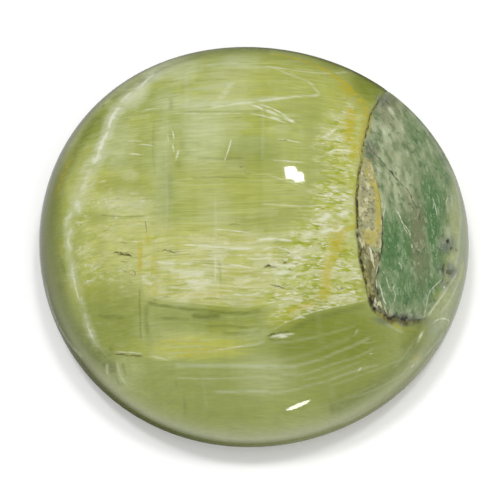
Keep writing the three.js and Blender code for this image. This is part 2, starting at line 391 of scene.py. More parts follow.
DARK_STROKES = [
    # cracks in the brownish cream area
    (0.08, 0.8, [(112, 252.5), (120, 253), (129, 252.7)]),
    (0.1, 1.0, [(117, 254.5), (125, 254.8), (134, 256.8)]),
    (0.06, 0.6, [(120, 262), (129, 262.3)]),
    (0.07, 0.7, [(121, 269.5), (127, 272), (133, 275.5)]),
    (0.05, 0.5, [(119, 243), (128, 243)]),
    (0.05, 0.4, [(111, 199), (123, 199)]),
    (0.07, 0.8, [(157, 251.2), (167, 250.5), (176, 253.7)]),
    (0.05, 0.5, [(144, 219), (146, 226), (146, 234)]),
    (0.05, 0.4, [(226, 224.5), (244, 224.5)]),
    (0.05, 0.6, [(132, 270), (135, 274), (134, 278)]),
    (0.05, 0.6, [(129, 282), (134, 283)]),
    (0.05, 0.5, [(163, 298), (170, 297)]),
    (0.05, 0.5, [(152, 299), (157, 301)]),
    # specks in the middle
    (0.09, 0.6, [(279, 140), (287, 140.3)]),
    (0.07, 0.6, [(239.5, 167.3), (243, 167)]),
    (0.08, 0.6, [(245.5, 173), (250, 173.6)]),
    (0.05, 0.3, [(215, 177), (234, 177.5)]),
    # cracks in the frayed fibres
    (0.13, 1.0, [(263, 268), (269, 266), (279.5, 267.3)]),
    (0.09, 0.8, [(282, 262.5), (287, 264)]),
    (0.09, 0.8, [(287, 269), (293, 269.7)]),
    (0.07, 0.7, [(268, 283.5), (277, 286.5), (286, 289.3)]),
    (0.07, 0.7, [(335, 288.7), (345, 289.3)]),
    (0.06, 0.6, [(354, 289), (359, 289.3)]),
    (0.05, 0.6, [(305, 244), (312, 245)]),
    (0.05, 0.6, [(296, 283), (304, 284)]),
    (0.05, 0.5, [(340, 243), (347, 244)]),
    # round the long pit: its dark outline, painted shade
    (0.08, 0.75, [(267, 337.5), (273, 334.3), (280, 332.6), (291, 331.6)]),
    (0.09, 0.8, [(268, 338.5), (273, 339.8), (281, 339.2)]),
    # the bent crack in the lower left
    (0.1, 0.85, [(112, 353.5), (119, 354.5), (128, 355.3), (143, 356.3)]),
    # the contact with the host rock, and the crack that leaves it
    (0.08, 0.75, CONTACT[1:9]),
    (0.12, 1.0, CONTACT[8:16]),
    (0.17, 1.0, CONTACT[15:22]),
    (0.3, 1.0, CONTACT[20:23]),
    (0.42, 1.0, CONTACT[22:26]),
    (0.07, 0.9, [(365.5, 138), (372, 148), (377, 154), (383, 160), (390, 169), (396, 176), (402, 183)]),
    (0.09, 0.6, [(402, 183), (409, 189), (414, 200), (419, 210), (422, 221)]),
    (0.05, 0.4, [(372, 160), (376, 174), (379.5, 189), (382, 205)]),
    (0.09, 0.85, [(382, 203), (383.6, 222), (383, 241), (381.5, 255)]),
    (0.16, 0.8, [(364, 186), (366, 190)]),
    (0.09, 0.7, [(381, 256), (379, 270), (376, 283), (380, 300)]),
    # pits along the border of the host rock, painted dark as shade in their hollows
    (0.26, 0.9, [(447.5, 239), (449, 244)]),
    (0.28, 0.9, [(451, 247), (452, 251)]),
    (0.16, 0.8, [(455, 249), (457.5, 251)]),
    (0.2, 0.8, [(445, 263), (444, 268), (443.5, 273)]),
    (0.28, 0.9, [(446, 272), (450, 271.5), (453, 270.5)]),
    (0.2, 0.8, [(447, 282), (449.5, 286)]),
    (0.12, 0.6, [(443.5, 277), (442, 282)]),
    (0.46, 1.0, [(403.5, 313), (405.5, 320), (407, 328)]),
    (0.24, 0.9, [(407, 325), (415, 323), (423, 321)]),
    (0.2, 0.7, [(390, 318), (393, 325)]),
    (0.2, 0.8, [(386, 99), (389, 100.5)]),
]

OCHRE_STROKES = [
    # the orange streak that comes in over the top and runs down along the contact
    (0.2, 1.0, [(272, 54), (286, 56), (300, 60), (312, 64), (321, 68), (330, 72)]),
    (0.3, 1.0, [(328, 71), (335, 77), (342, 81), (347, 85), (351, 91), (359, 97)]),
    (0.5, 0.8, [(340, 84), (346, 90), (352, 98)]),
    (0.44, 0.9, [(357, 96), (363, 103), (367, 111), (366, 121)]),
    (0.28, 0.85, [(366, 118), (364, 130), (361.5, 142), (360, 156)]),
    (0.42, 1.0, [(351.5, 108), (350, 124), (349, 143)]),
    (0.34, 0.9, [(354, 142), (353, 160)]),
    (0.2, 0.5, [(360, 160), (357, 190), (355, 222)]),
    # the middle and the lower end of that column
    (0.6, 0.9, [(340, 226), (337, 238), (336, 254)]),
    (0.4, 0.8, [(336, 252), (330, 262), (325, 276), (326, 290), (320, 300)]),
    (0.18, 0.8, [(359, 224), (350, 228), (343, 232)]),
    (0.3, 0.6, [(316, 302), (300, 307), (286, 314)]),
    # the wedge
    (0.16, 0.8, [(363.5, 157), (367, 168), (370, 178), (376, 188)]),
    (0.2, 0.8, [(374, 185), (379, 194), (380, 210), (379, 232)]),
    (0.14, 0.6, [(362, 226), (368, 238), (375, 243)]),
    (0.1, 0.6, [(369, 158), (373.5, 170), (377, 184)]),
    # yellow-brown columns in the cream area
    (0.22, 0.8, [(140, 240), (139.8, 258), (140, 273)]),
    (0.2, 0.7, [(148, 232), (147.5, 246)]),
    (0.26, 0.6, [(154, 253), (154, 276)]),
    (0.24, 0.5, [(154, 280), (155, 296)]),
    (0.12, 0.6, [(192, 295), (205, 294.7), (219, 295)]),
    # yellow threads under the cream band
    (0.07, 0.8, [(176, 357.5), (200, 354), (222, 350), (239, 345.5)]),
    (0.1, 0.5, [(163, 341), (185, 341), (205, 340.5)]),
    (0.08, 0.6, [(168, 352), (190, 351), (215, 348)]),
    (0.06, 0.5, [(186, 345), (210, 344), (236, 341)]),
    # the left rim
    (0.42, 0.4, [(72, 157), (64, 173), (59, 186), (58, 198)]),
    (0.22, 0.3, [(88, 146), (86, 156)]),
    (0.2, 0.4, [(60.5, 240), (61.5, 258)]),
    # the right rim
    (0.3, 0.45, [(461, 266), (459, 282)]),
    (0.5, 0.5, [(419, 353), (414, 364)]),
    (0.14, 0.5, [(409, 367), (404, 371)]),
    # rust along the contact
    (0.1, 0.6, [(373, 112), (370, 123), (368, 134)]),
    (0.09, 0.6, [(363, 262), (368, 282), (373, 300)]),
    (0.16, 0.5, [(377, 312), (390, 322), (403, 330)]),
]

# Soft patches: centre and half-widths in pixels, and strength
PATCHES = {
    "milky": [((218, 274), (80, 42), 1.0), ((300, 262), (50, 40), 0.4)],
    # The smoky patches are painted shade in and round the pits along the host rock.
    "smoky": [
        ((449, 245), (8, 9), 0.8), ((448, 271), (8, 8), 0.8), ((447, 284), (6, 6), 0.6),
        ((404, 320), (26, 6), 0.7), ((385, 99), (8, 6), 0.5), ((371, 148), (7, 9), 0.4),
    ],
    "rind": [
        ((462, 190), (12, 50), 0.7), ((467, 240), (14, 50), 0.9), ((460, 290), (14, 34), 0.75),
        ((444, 326), (18, 26), 0.6), ((424, 356), (22, 18), 0.3),
    ],
    "cream": [
        ((132, 238), (34, 30), 0.65), ((128, 268), (30, 26), 0.5), ((107, 196), (30, 22), 0.35),
        ((147, 232), (9, 18), 0.5), ((148, 282), (12, 20), 0.5), ((98, 240), (24, 40), 0.3),
    ],
    "pale": [
        ((203, 138), (20, 34), 0.3), ((177, 68), (22, 12), 0.4), ((228, 84), (24, 20), 0.25),
        ((215, 205), (16, 22), 0.15), ((163, 178), (9, 50), 0.25), ((132, 94), (14, 12), 0.25),
        ((264, 376), (26, 20), 0.2), ((212, 104), (50, 9), 0.35), ((172, 103), (18, 9), 0.3),
        ((158, 73), (14, 7), 0.4), ((282, 272), (20, 16), 0.4), ((122, 200), (22, 12), 0.4),
        ((120, 146), (14, 30), 0.15), ((241, 62), (20, 8), 0.35), ((122, 372), (20, 18), 0.15),
        ((130, 176), (8, 6), 0.4),
    ],
    # Those along the left rim and the top edge deepen the rim, partly as painted shade.
    "olive": [
        ((106, 318), (44, 38), 0.6), ((52, 250), (13, 90), 0.75), ((200, 318), (70, 14), 0.48),
        ((66, 322), (22, 40), 0.5), ((330, 338), (60, 32), 0.9), ((165, 192), (10, 30), 0.35),
        ((234, 54), (90, 7), 0.3), ((268, 225), (46, 12), 0.25), ((316, 170), (14, 60), 0.15),
        ((375, 84), (26, 20), 0.9), ((290, 246), (16, 12), 0.3), ((360, 385), (60, 30), 0.45),
        ((252, 153), (28, 16), 0.4), ((200, 400), (60, 30), 0.25), ((345, 60), (40, 12), 0.5),
        ((287, 255), (6, 6), 0.8), ((92, 218), (14, 6), 0.4), ((74, 250), (9, 60), 0.25),
        ((120, 186), (30, 9), 0.4), ((286, 322), (10, 8), 0.3), ((150, 322), (12, 26), 0.4),
        ((420, 340), (20, 18), 0.85), ((92, 120), (16, 20), 0.3),
    ],
    "yellow": [
        ((200, 348), (46, 11), 0.7), ((286, 318), (18, 10), 0.8), ((300, 80), (60, 18), 0.22),
        ((262, 88), (60, 18), 0.27), ((110, 185), (40, 14), 0.5), ((320, 270), (50, 40), 0.3),
        ((200, 235), (70, 12), 0.4), ((345, 130), (16, 50), 0.45), ((240, 190), (60, 26), 0.25),
        ((92, 292), (26, 12), 0.5), ((250, 290), (60, 16), 0.35), ((340, 112), (18, 22), 0.4),
        ((345, 200), (14, 40), 0.35), ((276, 240), (40, 20), 0.3), ((100, 262), (20, 34), 0.3),
        ((379, 200), (3.5, 36), 0.6), ((372, 238), (9, 9), 0.55),
    ],
    "emerald": [
        ((398, 244), (28, 36), 0.9), ((432, 214), (14, 44), 1.0), ((430, 160), (22, 34), 0.4),
        ((408, 288), (30, 26), 0.75), ((430, 270), (20, 34), 0.8), ((418, 131), (12, 16), 0.5),
        ((440, 180), (12, 30), 0.6), ((384, 226), (8, 30), 0.3),
    ],
    "brown": [
        ((420, 236), (8, 40), 0.6), ((372, 152), (7, 9), 0.6), ((388, 108), (10, 14), 0.35),
        ((414, 212), (12, 20), 0.35), ((424, 262), (7, 26), 0.4), ((380, 100), (8, 8), 0.5),
    ],
}
PATCH_SOFTNESS = 0.55

# How each kind of stroke is drawn: its strokes, the grain that breaks it down to a least
# share, how far it wobbles in mm, and the half widths up to which it is full and at which it
# is gone
STROKE_KINDS = {
    "pale": (PALE_STROKES, "fleck", 0.35, 0.015, 0.2, 1.6),
    "haze_and_reflection": (HAZE_AND_REFLECTION_STROKES, "fleck", 0.55, 0.01, 0.0, 2.2),
    "shade": (SHADE_STROKES, "fleck", 0.5, 0.02, 0.0, 2.2),
    "dark": (DARK_STROKES, "pepper", 0.3, 0.05, 0.3, 1.6),
    "ochre": (OCHRE_STROKES, "splinter", 0.1, 0.06, 0.0, 2.6),
}
STROKE_MARGIN = 0.16  # a little over the length of the mesh's edges, in mm
STROKE_ROOM = 0.6  # how far off a stroke its distance is still kept, in mm
STROKE_TAPER = 0.25  # mm at each end
STROKE_BLUNTNESS = 0.3  # how far past its end a stroke would be gone, by its taper
STROKE_SPACING = 0.42  # the least room between two strokes of one set, in mm
STROKE_EDGE = 0.6  # how far out a stroke is taken to reach, by its width
STROKE_END = 1.1  # how far out the strength of a broad stroke is kept, by its width
NO_STROKE = [1.0, 0.0, 0.05]  # far off, with no strength and a harmless half width

# How far a point faces the camera: the strokes end just past the edge that the camera sees,
# and the patches fade out below.
STROKES_SHOWN = (-0.1, 0.05)
PATCHES_SHOWN = (-0.6, 0.2)

RAY_STEPS = 240  # along a line of sight
HALVINGS = 24  # of the step that meets the stone
TINY = 1e-9  # in place of a length of zero


def smoothstep(low, high, value):
    """0 below low, 1 above high and a smooth rise between them."""
    share = np.clip((value - low) / (high - low), 0, 1)
    return share * share * (3 - 2 * share)


def girdle_radius(angle):
    """The girdle's distance from the middle of the stone, in the direction of an angle."""
    mean = (LENGTH + WIDTH) / 4
    oval = (LENGTH - WIDTH) / 4
    return (
        mean
        + oval * np.cos(2 * (angle - OVAL_TURN))
        + EGG * np.cos(3 * (angle - EGG_TURN))
        + SQUARENESS * np.cos(4 * angle)
    )


def dome_height(x, y):
    """The height of the dome over a point of the back."""
    share = np.hypot(x, y) / girdle_radius(np.arctan2(y, x))
    return GIRDLE_HEIGHT + DOME_RISE * np.sqrt(np.clip(1 - share**2, 0, None))


def girdle_corner():
    """The lowest x and y of the girdle, which the CAD box starts at."""
    angle = np.linspace(-math.pi, math.pi, OUTLINE_STEPS)
    radius = girdle_radius(angle)
    return np.array([(radius * np.cos(angle)).min(), (radius * np.sin(angle)).min(), 0.0])


# The CAD puts the middle of the stone's box at the origin. The marks and the camera are set
# out from the middle of the girdle's curve, so that much is added last.
CENTRING = np.append((box_low - girdle_corner())[:2], 0.0)


def seen_at(points):
    """Where the camera sees points, in pixels."""
    away = points - EYE
    depth = -away @ BACK
    across = away @ RIGHT * CAMERA_DISTANCE / depth
    up = away @ UP * CAMERA_DISTANCE / depth
    return np.stack([HALF_FRAME + across * PIXELS_PER_MM, HALF_FRAME - up * PIXELS_PER_MM], 1)


def on_stone(pixels):
    """The points of the dome that the camera sees at pixels."""
    pixels = np.asarray(pixels, float)
    across = (pixels[:, :1] - HALF_FRAME) / PIXELS_PER_MM
    up = (HALF_FRAME - pixels[:, 1:]) / PIXELS_PER_MM
    ray = AIM + across * RIGHT + up * UP - EYE
    ray /= np.linalg.norm(ray, axis=1, keepdims=True)
    steps = np.linspace(CAMERA_DISTANCE - HEIGHT, CAMERA_DISTANCE + HEIGHT, RAY_STEPS)
    tried = EYE + ray[:, None] * steps[None, :, None]
    outside = tried[..., 2] > dome_height(tried[..., 0], tried[..., 1])
    far = steps[np.argmin(outside, axis=1)]
    near = far - (steps[1] - steps[0])
    for _ in range(HALVINGS):
        middle = (near + far) / 2
        tried = EYE + ray * middle[:, None]
        outside = tried[:, 2] > dome_height(tried[:, 0], tried[:, 1])
        near = np.where(outside, middle, near)
        far = np.where(outside, far, middle)
    return EYE + ray * far[:, None]


def smooth_line(points, steps=4):
    """A smooth line through points, with steps between each two of them."""
    points = np.asarray(points, float)
    if len(points) < 3:
        return points
    ends = np.vstack([2 * points[0] - points[1], points, 2 * points[-1] - points[-2]])
    share = (np.arange(steps) / steps)[:, None]
    line = []
    for before, start, end, after in zip(ends, ends[1:], ends[2:], ends[3:]):
        line.append(
            0.5
            * (
                2 * start
                + (end - before) * share
                + (2 * before - 5 * start + 4 * end - after) * share**2
                + (3 * start - before - 3 * end + after) * share**3
            )
        )
    return np.vstack(line + [points[-1:]])


def line_distance(points, normals, line):
    """Signed distance from each point to a line on the stone, how far along the line that
    is, and the line's length."""
    best = np.full(len(points), np.inf)
    signed = np.zeros(len(points))
    along = np.zeros(len(points))
    travelled = 0.0
    for start, end in zip(line, line[1:]):
        run = end - start
        length = np.linalg.norm(run)
        share = np.clip((points - start) @ run / length**2, 0, 1)
        away = points - start - share[:, None] * run
        distance = np.linalg.norm(away, axis=1)
        side = np.where((away * np.cross(run, normals)).sum(1) < 0, -1.0, 1.0)
        closer = distance < best
        best[closer] = distance[closer]
        signed[closer] = (side * distance)[closer]
        along[closer] = (travelled + share * length)[closer]
        travelled += length
    return signed, along, travelled


def area_distance(pixels, outline):
    """Distance from each pixel to the edge of an area, in mm at the aim, positive inside."""
    line = smooth_line(np.vstack([outline, outline[:1]]), steps=3)
    best = np.full(len(pixels), np.inf)
    inside = np.zeros(len(pixels), bool)
    for start, end in zip(line, line[1:]):
        run = end - start
        share = np.clip((pixels - start) @ run / max(run @ run, TINY), 0, 1)
        best = np.minimum(best, np.linalg.norm(pixels - start - share[:, None] * run, axis=1))
        # A point is inside where a line to its right crosses the outline an odd number of times.
        spans = (start[1] > pixels[:, 1]) != (end[1] > pixels[:, 1])
        rise = run[1] if run[1] else TINY
        crossing = start[0] + (pixels[:, 1] - start[1]) / rise * run[0]
        inside ^= spans & (pixels[:, 0] < crossing)
    return np.where(inside, best, -best) / PIXELS_PER_MM


def patch_strength(pixels, patches):
    """The strongest of some soft patches at each pixel."""
    strength = np.zeros(len(pixels))
    for centre, reach, most in patches:
        share = np.linalg.norm((pixels - centre) / reach, axis=1)
        patch = most * smoothstep(1 + PATCH_SOFTNESS, 1 - PATCH_SOFTNESS, share)
        strength = np.maximum(strength, patch)
    return strength


def apart(stroke, other):
    """Whether two strokes leave enough room between them."""
    lines = stroke[2], other[2]
    gaps = [line_distance(a, a, b)[0] for a, b in [lines, lines[::-1]]]
    room = STROKE_SPACING + STROKE_EDGE * (stroke[0] + other[0])
    return np.abs(np.concatenate(gaps)).min() > room


def spaced_strokes(strokes):
    """Shares strokes out over as few sets as keep them apart, because a vertex remembers
    only one stroke of a set. Each then has its line on the stone in place of its pixels."""
    sets = []
    for width, strength, pixels in strokes:
        stroke = width, strength, smooth_line(on_stone(pixels))
        for spaced in sets:
            if all(apart(stroke, other) for other in spaced):
                spaced.append(stroke)
                break
        else:
            sets.append([stroke])
    return sets


def stroke_values(points, normals, strokes):
    """For each point the signed distance to the nearest stroke, its strength there and half
    its width."""
    nearest = np.full(len(points), np.inf)
    values = np.tile(NO_STROKE, (len(points), 1))
    for width, strength, line in strokes:
        fading = max(STROKE_EDGE * width + STROKE_MARGIN, STROKE_END * width)
        room = max(STROKE_ROOM, fading)
        low = line.min(0) - room
        high = line.max(0) + room
        near = np.flatnonzero(((points > low) & (points < high)).all(1))
        signed, along, length = line_distance(points[near], normals[near], line)
        distance = np.abs(signed)
        taper = min(STROKE_TAPER, length / 3)
        ends = smoothstep(-STROKE_BLUNTNESS * taper, taper, np.minimum(along, length - along))
        reach = distance < fading
        rank = np.where(reach, distance - 0.5 * width, distance + STROKE_ROOM)
        closer = rank < nearest[near]
        chosen = near[closer]
        nearest[chosen] = rank[closer]
        values[chosen, 0] = signed[closer]
        values[chosen, 1] = (strength * ends * reach)[closer]
        values[chosen, 2] = width / 2
    return values


def to_stone(directions):
    """Puts directions from the middle of a sphere onto the stone: the dome above the girdle,
    and the rounded edge and the flat back below it."""
    x, y, z = directions.T
    angle = np.arctan2(y, x)
    radius = girdle_radius(angle)
    edge_length = math.pi / 2 * math.hypot(BACK_INSET, GIRDLE_HEIGHT) / math.sqrt(2)
    back_radius = radius - BACK_INSET
    travelled = np.arcsin(np.clip(-z, 0, 1)) / (math.pi / 2) * (edge_length + back_radius)
    turn = np.clip(travelled / edge_length, 0, 1) * math.pi / 2
    inward = np.clip((travelled - edge_length) / back_radius, 0, 1)
    below_reach = (radius - BACK_INSET * (1 - np.cos(turn))) * (1 - inward)
    above = z >= 0
    reach = np.where(above, radius * np.hypot(x, y), below_reach)
    height = np.where(
        above,
        GIRDLE_HEIGHT + DOME_RISE * z,
        GIRDLE_HEIGHT * (1 - np.sin(turn)),
    )
    return np.stack([reach * np.cos(angle), reach * np.sin(angle), height], 1)


def near_rock(place):
    """Whether a place on the sphere is in the part of the dome that the host rock is in."""
    return place.z > 0.0 and place.x > ROCK_LEFT and ROCK_FRONT < place.y < ROCK_BACK


def sphere_mesh():
    """A sphere of triangles, finer in its upper half and finest round the host rock."""
    bm = bmesh.new()
    bmesh.ops.create_icosphere(bm, subdivisions=SPHERE_LEVEL, radius=1.0)
    dome = [edge for edge in bm.edges if min(v.co.z for v in edge.verts) > DOME_FROM]
    bmesh.ops.subdivide_edges(bm, edges=dome, cuts=DOME_CUTS, use_grid_fill=True)
    rock = [edge for edge in bm.edges if all(near_rock(v.co) for v in edge.verts)]
    bmesh.ops.subdivide_edges(bm, edges=rock, cuts=ROCK_CUTS, use_grid_fill=True)
    for vertex in bm.verts:
        vertex.co.normalize()
    bmesh.ops.triangulate(bm, faces=bm.faces)
    bmesh.ops.recalc_face_normals(bm, faces=bm.faces)
    mesh = bpy.data.meshes.new("polished_opal")
    bm.to_mesh(mesh)
    bm.free()
    return mesh


def vertex_values(collection, name):
    """The places or normals of a mesh, one row for each vertex."""
    values = np.empty(len(collection) * 3, np.float32)
    collection.foreach_get(name, values)
    return values.reshape(-1, 3).astype(float)


def place_vertices(mesh, points):
    """Moves each vertex of a mesh to its point."""
    mesh.vertices.foreach_set("co", points.astype(np.float32).ravel())
    mesh.update()


def store(mesh, name, values):
    """Keeps one number, or three, for each vertex under a name."""
    kind, field = ("FLOAT", "value") if values.ndim == 1 else ("FLOAT_VECTOR", "vector")
    attribute = mesh.attributes.new(name, kind, "POINT")
    attribute.data.foreach_set(field, values.astype(np.float32).ravel())


def relief_depth(points, normals, ledge_area, cracks):
    """How far each point lies below the polished surface: the ledge of the host rock, the
    groove along the contact, the pits and the dent in the girdle."""
    ledge = LEDGE_DEPTH * smoothstep(0.0, LEDGE_SLOPE, ledge_area)
    contact = smooth_line(on_stone(CONTACT))
    signed, along, _ = line_distance(points, normals, contact)
    groove = GROOVE_DEPTH * np.exp(-((signed / GROOVE_WIDTH) ** 2))
    groove *= smoothstep(*GROOVE_START, along)
    pits = np.zeros(len(points))
    for offset, strength, half_width in (values.T for values in cracks):
        pit = PIT_DEPTH * strength * smoothstep(half_width * PIT_SPREAD, 0.0, np.abs(offset))
        pits = np.maximum(pits, pit * smoothstep(*PIT_HALF_WIDTH, half_width))
    dent_share = ((points - DENT_CENTRE) / (DENT_SIZE / 2)) ** 2
    dent = DENT_DEPTH * smoothstep(1.0, DENT_FLOOR, dent_share.sum(1))
    above = smoothstep(GIRDLE_HEIGHT, GIRDLE_HEIGHT + RELIEF_RISE, points[:, 2])
    return np.maximum(np.maximum(ledge, groove), pits) * above + dent


def area_values(pixels):
    """How far inside each area each point is, by the area's name."""
    values = {name: area_distance(pixels, outline) for name, outline in AREAS.items()}
    left_fray = np.minimum(area_distance(pixels, LEFT_FRAY), LEFT_FRAY_MOST)
    values["fray"] = np.maximum(values["fray"], left_fray)
    return values


def all_stroke_values(points, normals):
    """The values of every set of strokes, by its kind and number."""
    values = {}
    for kind, (strokes, *_) in STROKE_KINDS.items():
        for number, spaced in enumerate(spaced_strokes(strokes)):
            values[f"{kind}_stroke_{number}"] = stroke_values(points, normals, spaced)
    return values


def vein_values(points, normals):
    """For each point the signed distance to the vein, how far along it that is and half its
    width there, and then its strength there."""
    signed, along, length = line_distance(points, normals, smooth_line(on_stone(VEIN)))
    places, half_widths, strengths = zip(*VEIN_COURSE)
    half_width = np.interp(along / length, places, half_widths)
    strength = np.interp(along / length, places, strengths)
    return np.stack([signed, along, half_width], 1), strength


def make_stone():
    """The stone as one closed mesh. Its relief is in its shape, and its marks are kept at its
    vertices for the material."""
    mesh = sphere_mesh()
    points = to_stone(vertex_values(mesh.vertices, "co"))
    place_vertices(mesh, points)
    normals = vertex_values(mesh.vertex_normals, "vector")
    pixels = seen_at(points)
    toward_eye = (EYE - points) / np.linalg.norm(EYE - points, axis=1, keepdims=True)
    facing = (toward_eye * normals).sum(1)
    strokes = all_stroke_values(points, normals)
    cracks = [values for name, values in strokes.items() if name.startswith("dark")]
    ledge_area = area_distance(pixels, CONTACT + LEDGE_BORDER)
    depth = relief_depth(points, normals, ledge_area, cracks)
    # The relief has the strokes at full strength, and the material as far as they are shown.
    shown = smoothstep(*STROKES_SHOWN, facing)
    for values in strokes.values():
        values[:, 1] *= shown
    vein, vein_strength = vein_values(points, normals)
    marks = area_values(pixels)
    marks.update(strokes, vein=vein, vein_strength=vein_strength * shown)
    for name, patches in PATCHES.items():
        marks[name] = patch_strength(pixels, patches) * smoothstep(*PATCHES_SHOWN, facing)
    points = points - normals * depth[:, None]
    points = np.clip(points + CENTRING, box_low, box_high)
    place_vertices(mesh, points * MM)
    mesh.shade_smooth()
    for name, values in marks.items():
        store(mesh, name, values)
    stone = bpy.data.objects.new("polished_opal", mesh)
    bpy.context.scene.collection.objects.link(stone)
    return stone


def linear(colour):
    """An sRGB hex colour as linear red, green, blue and alpha."""
    parts = [int(colour[i : i + 2], 16) / 255 for i in (1, 3, 5)]
    return [c / 12.92 if c <= 0.04045 else ((c + 0.055) / 1.055) ** 2.4 for c in parts] + [1.0]


def add(tree, kind, inputs=None, **settings):
    """Adds a node with its settings. Each input is a value or a socket to link."""
    made = tree.nodes.new("ShaderNode" + kind)
    for name, value in settings.items():
        setattr(made, name, value)
    for name, value in (inputs or {}).items():
        if isinstance(value, bpy.types.NodeSocket):
            tree.links.new(value, made.inputs[name])
        else:
            made.inputs[name].default_value = value
    return made


# Sockets of a Mix node, for colours and then for numbers
FACTOR = 0
A = 6
B = 7
MIXED = 2
NUMBER_A = 2
NUMBER_B = 3

# Grain of the stone: how many turns a millimetre across its length, width and depth, its
# detail, and how far it is turned about Z. The opal's fibres run along X, so its grains are
# long that way. The rock's flakes lie across them.
GRAINS = {
    "fibre": ((0.5, 7.5, 1.8), 3.0, 0),
    "hair": ((0.9, 15.0, 4.0), 2.0, 0),
    "streak": ((0.26, 8.0, 2.2), 2.0, 0),
    "thread": ((0.36, 6.5, 1.8), 2.0, 0),
    "layer": ((0.1, 0.9, 0.4), 3.0, 0),
    "band": ((0.7, 0.06, 0.2), 2.0, 0),
    "weave": ((2.4, 0.14, 0.6), 2.0, 0),
    "cloud": ((0.4, 0.4, 0.4), 2.0, 0),
    "fleck": ((1.6, 6.4, 2.6), 3.0, 0),
    "splinter": ((2.5, 9.5, 4.0), 2.5, 0),
    "leaf": ((1.5, 4.8, 2.0), 2.5, 0),
    "flake": ((2.2, 0.8, 1.2), 4.0, -10),
    "shard": ((5.0, 1.5, 2.4), 2.5, -14),
    "grit": ((6.0, 6.0, 6.0), 3.0, 0),
    "pepper": ((3.4, 2.4, 2.8), 2.5, -10),
    "clump": ((0.7, 1.3, 0.9), 3.0, 0),
}
RUFFLED = ("fleck", "splinter", "leaf")
GRAIN_STEP = (17.3, 5.1)  # how far each grain is set off from the one before, in mm
# Most of a grain's values lie between these.
NOISE_LOW = 0.3
NOISE_HIGH = 0.7

# Blocks that the fibres lie in: how many a millimetre each way, how far the fibres fray
# their ends, and names for the three tones that each block has
BLOCKS = [
    ((0.42, 0.6, 0.4), 1.4, ("olive_block", "lime_block", "pale_block")),
    ((0.8, 2.2, 1.2), 0.8, ("olive_chip", "lime_chip", "pale_chip")),
]
BLOCK_SOFTNESS = 0.25


def grain_sockets(tree, swayed, ruffled):
    """The noise of each grain and the tones of each block, at a place in millimetres."""
    sockets = {}
    for number, (name, (scale, detail, turn)) in enumerate(GRAINS.items()):
        turned = add(
            tree,
            "Mapping",
            {
                "Vector": ruffled if name in RUFFLED else swayed,
                "Rotation": (0.0, 0.0, math.radians(turn)),
                "Location": (GRAIN_STEP[0] * number, GRAIN_STEP[1] * number, 0.0),
            },
        ).outputs[0]
        scaled = add(tree, "VectorMath", {0: turned, 1: scale}, operation="MULTIPLY").outputs[0]
        noise = add(tree, "TexNoise", {"Vector": scaled, "Scale": 1.0, "Detail": detail})
        sockets[name] = noise.outputs[0]
    pushed = add(tree, "CombineXYZ", {0: sockets["fibre"]}).outputs[0]
    for scale, fraying, names in BLOCKS:
        ragged = add(
            tree,
            "VectorMath",
            {0: pushed, 1: (fraying, 0.0, 0.0), 2: swayed},
            operation="MULTIPLY_ADD",
        ).outputs[0]
        scaled = add(tree, "VectorMath", {0: ragged, 1: scale}, operation="MULTIPLY").outputs[0]
        blocks = add(
            tree,
            "TexVoronoi",
            {"Vector": scaled, "Scale": 1.0, "Smoothness": BLOCK_SOFTNESS},
            feature="SMOOTH_F1",
            distance="CHEBYCHEV",
        )
        tones = add(tree, "SeparateXYZ", {0: blocks.outputs["Color"]}).outputs
        sockets.update(zip(names, tones))
    return sockets


def layered(tree, grain, colour, layers, inside=1.0):
    """Lays colours over a ground. Each comes in where its grain rises from one level to
    another, up to a most."""
    for name, low, high, hexed, most in layers:
        share = add(
            tree,
            "MapRange",
            {"Value": grain[name], "From Min": low, "From Max": high, "To Max": most},
            interpolation_type="SMOOTHSTEP",
        ).outputs[0]
        share = add(tree, "Math", {0: share, 1: inside}, operation="MULTIPLY").outputs[0]
        colour = add(
            tree, "Mix", {FACTOR: share, A: colour, B: linear(hexed)}, data_type="RGBA"
        ).outputs[MIXED]
    return colour


def patched(tree, streaks, colour, tints):
    """Lays soft patches of other colours over a ground, each streaked to its own degree."""
    for name, hexed, streaked in tints:
        strength = add(tree, "Attribute", attribute_name=name).outputs["Fac"]
        level = add(
            tree,
            "MapRange",
            {
                "Value": streaks,
                "From Min": NOISE_LOW,
                "From Max": NOISE_HIGH,
                "To Min": 1.0 - streaked,
                "To Max": 1.0 + streaked,
            },
        ).outputs[0]
        share = add(tree, "Math", {0: strength, 1: level}, operation="MULTIPLY", use_clamp=True)
        colour = add(
            tree, "Mix", {FACTOR: share.outputs[0], A: colour, B: linear(hexed)}, data_type="RGBA"
        ).outputs[MIXED]
    return colour


def area_share(tree, name, low, high, ragged=0.0):
    """0 where a point is up to low mm inside an area, rising to 1 at high mm, or the other way
    round where low is above high. Ragged adds to its distance."""
    distance = add(tree, "Attribute", attribute_name=name).outputs["Fac"]
    distance = add(tree, "Math", {0: distance, 1: ragged}, operation="ADD").outputs[0]
    return add(
        tree,
        "MapRange",
        {"Value": distance, "From Min": low, "From Max": high},
        interpolation_type="SMOOTHSTEP",
    ).outputs[0]


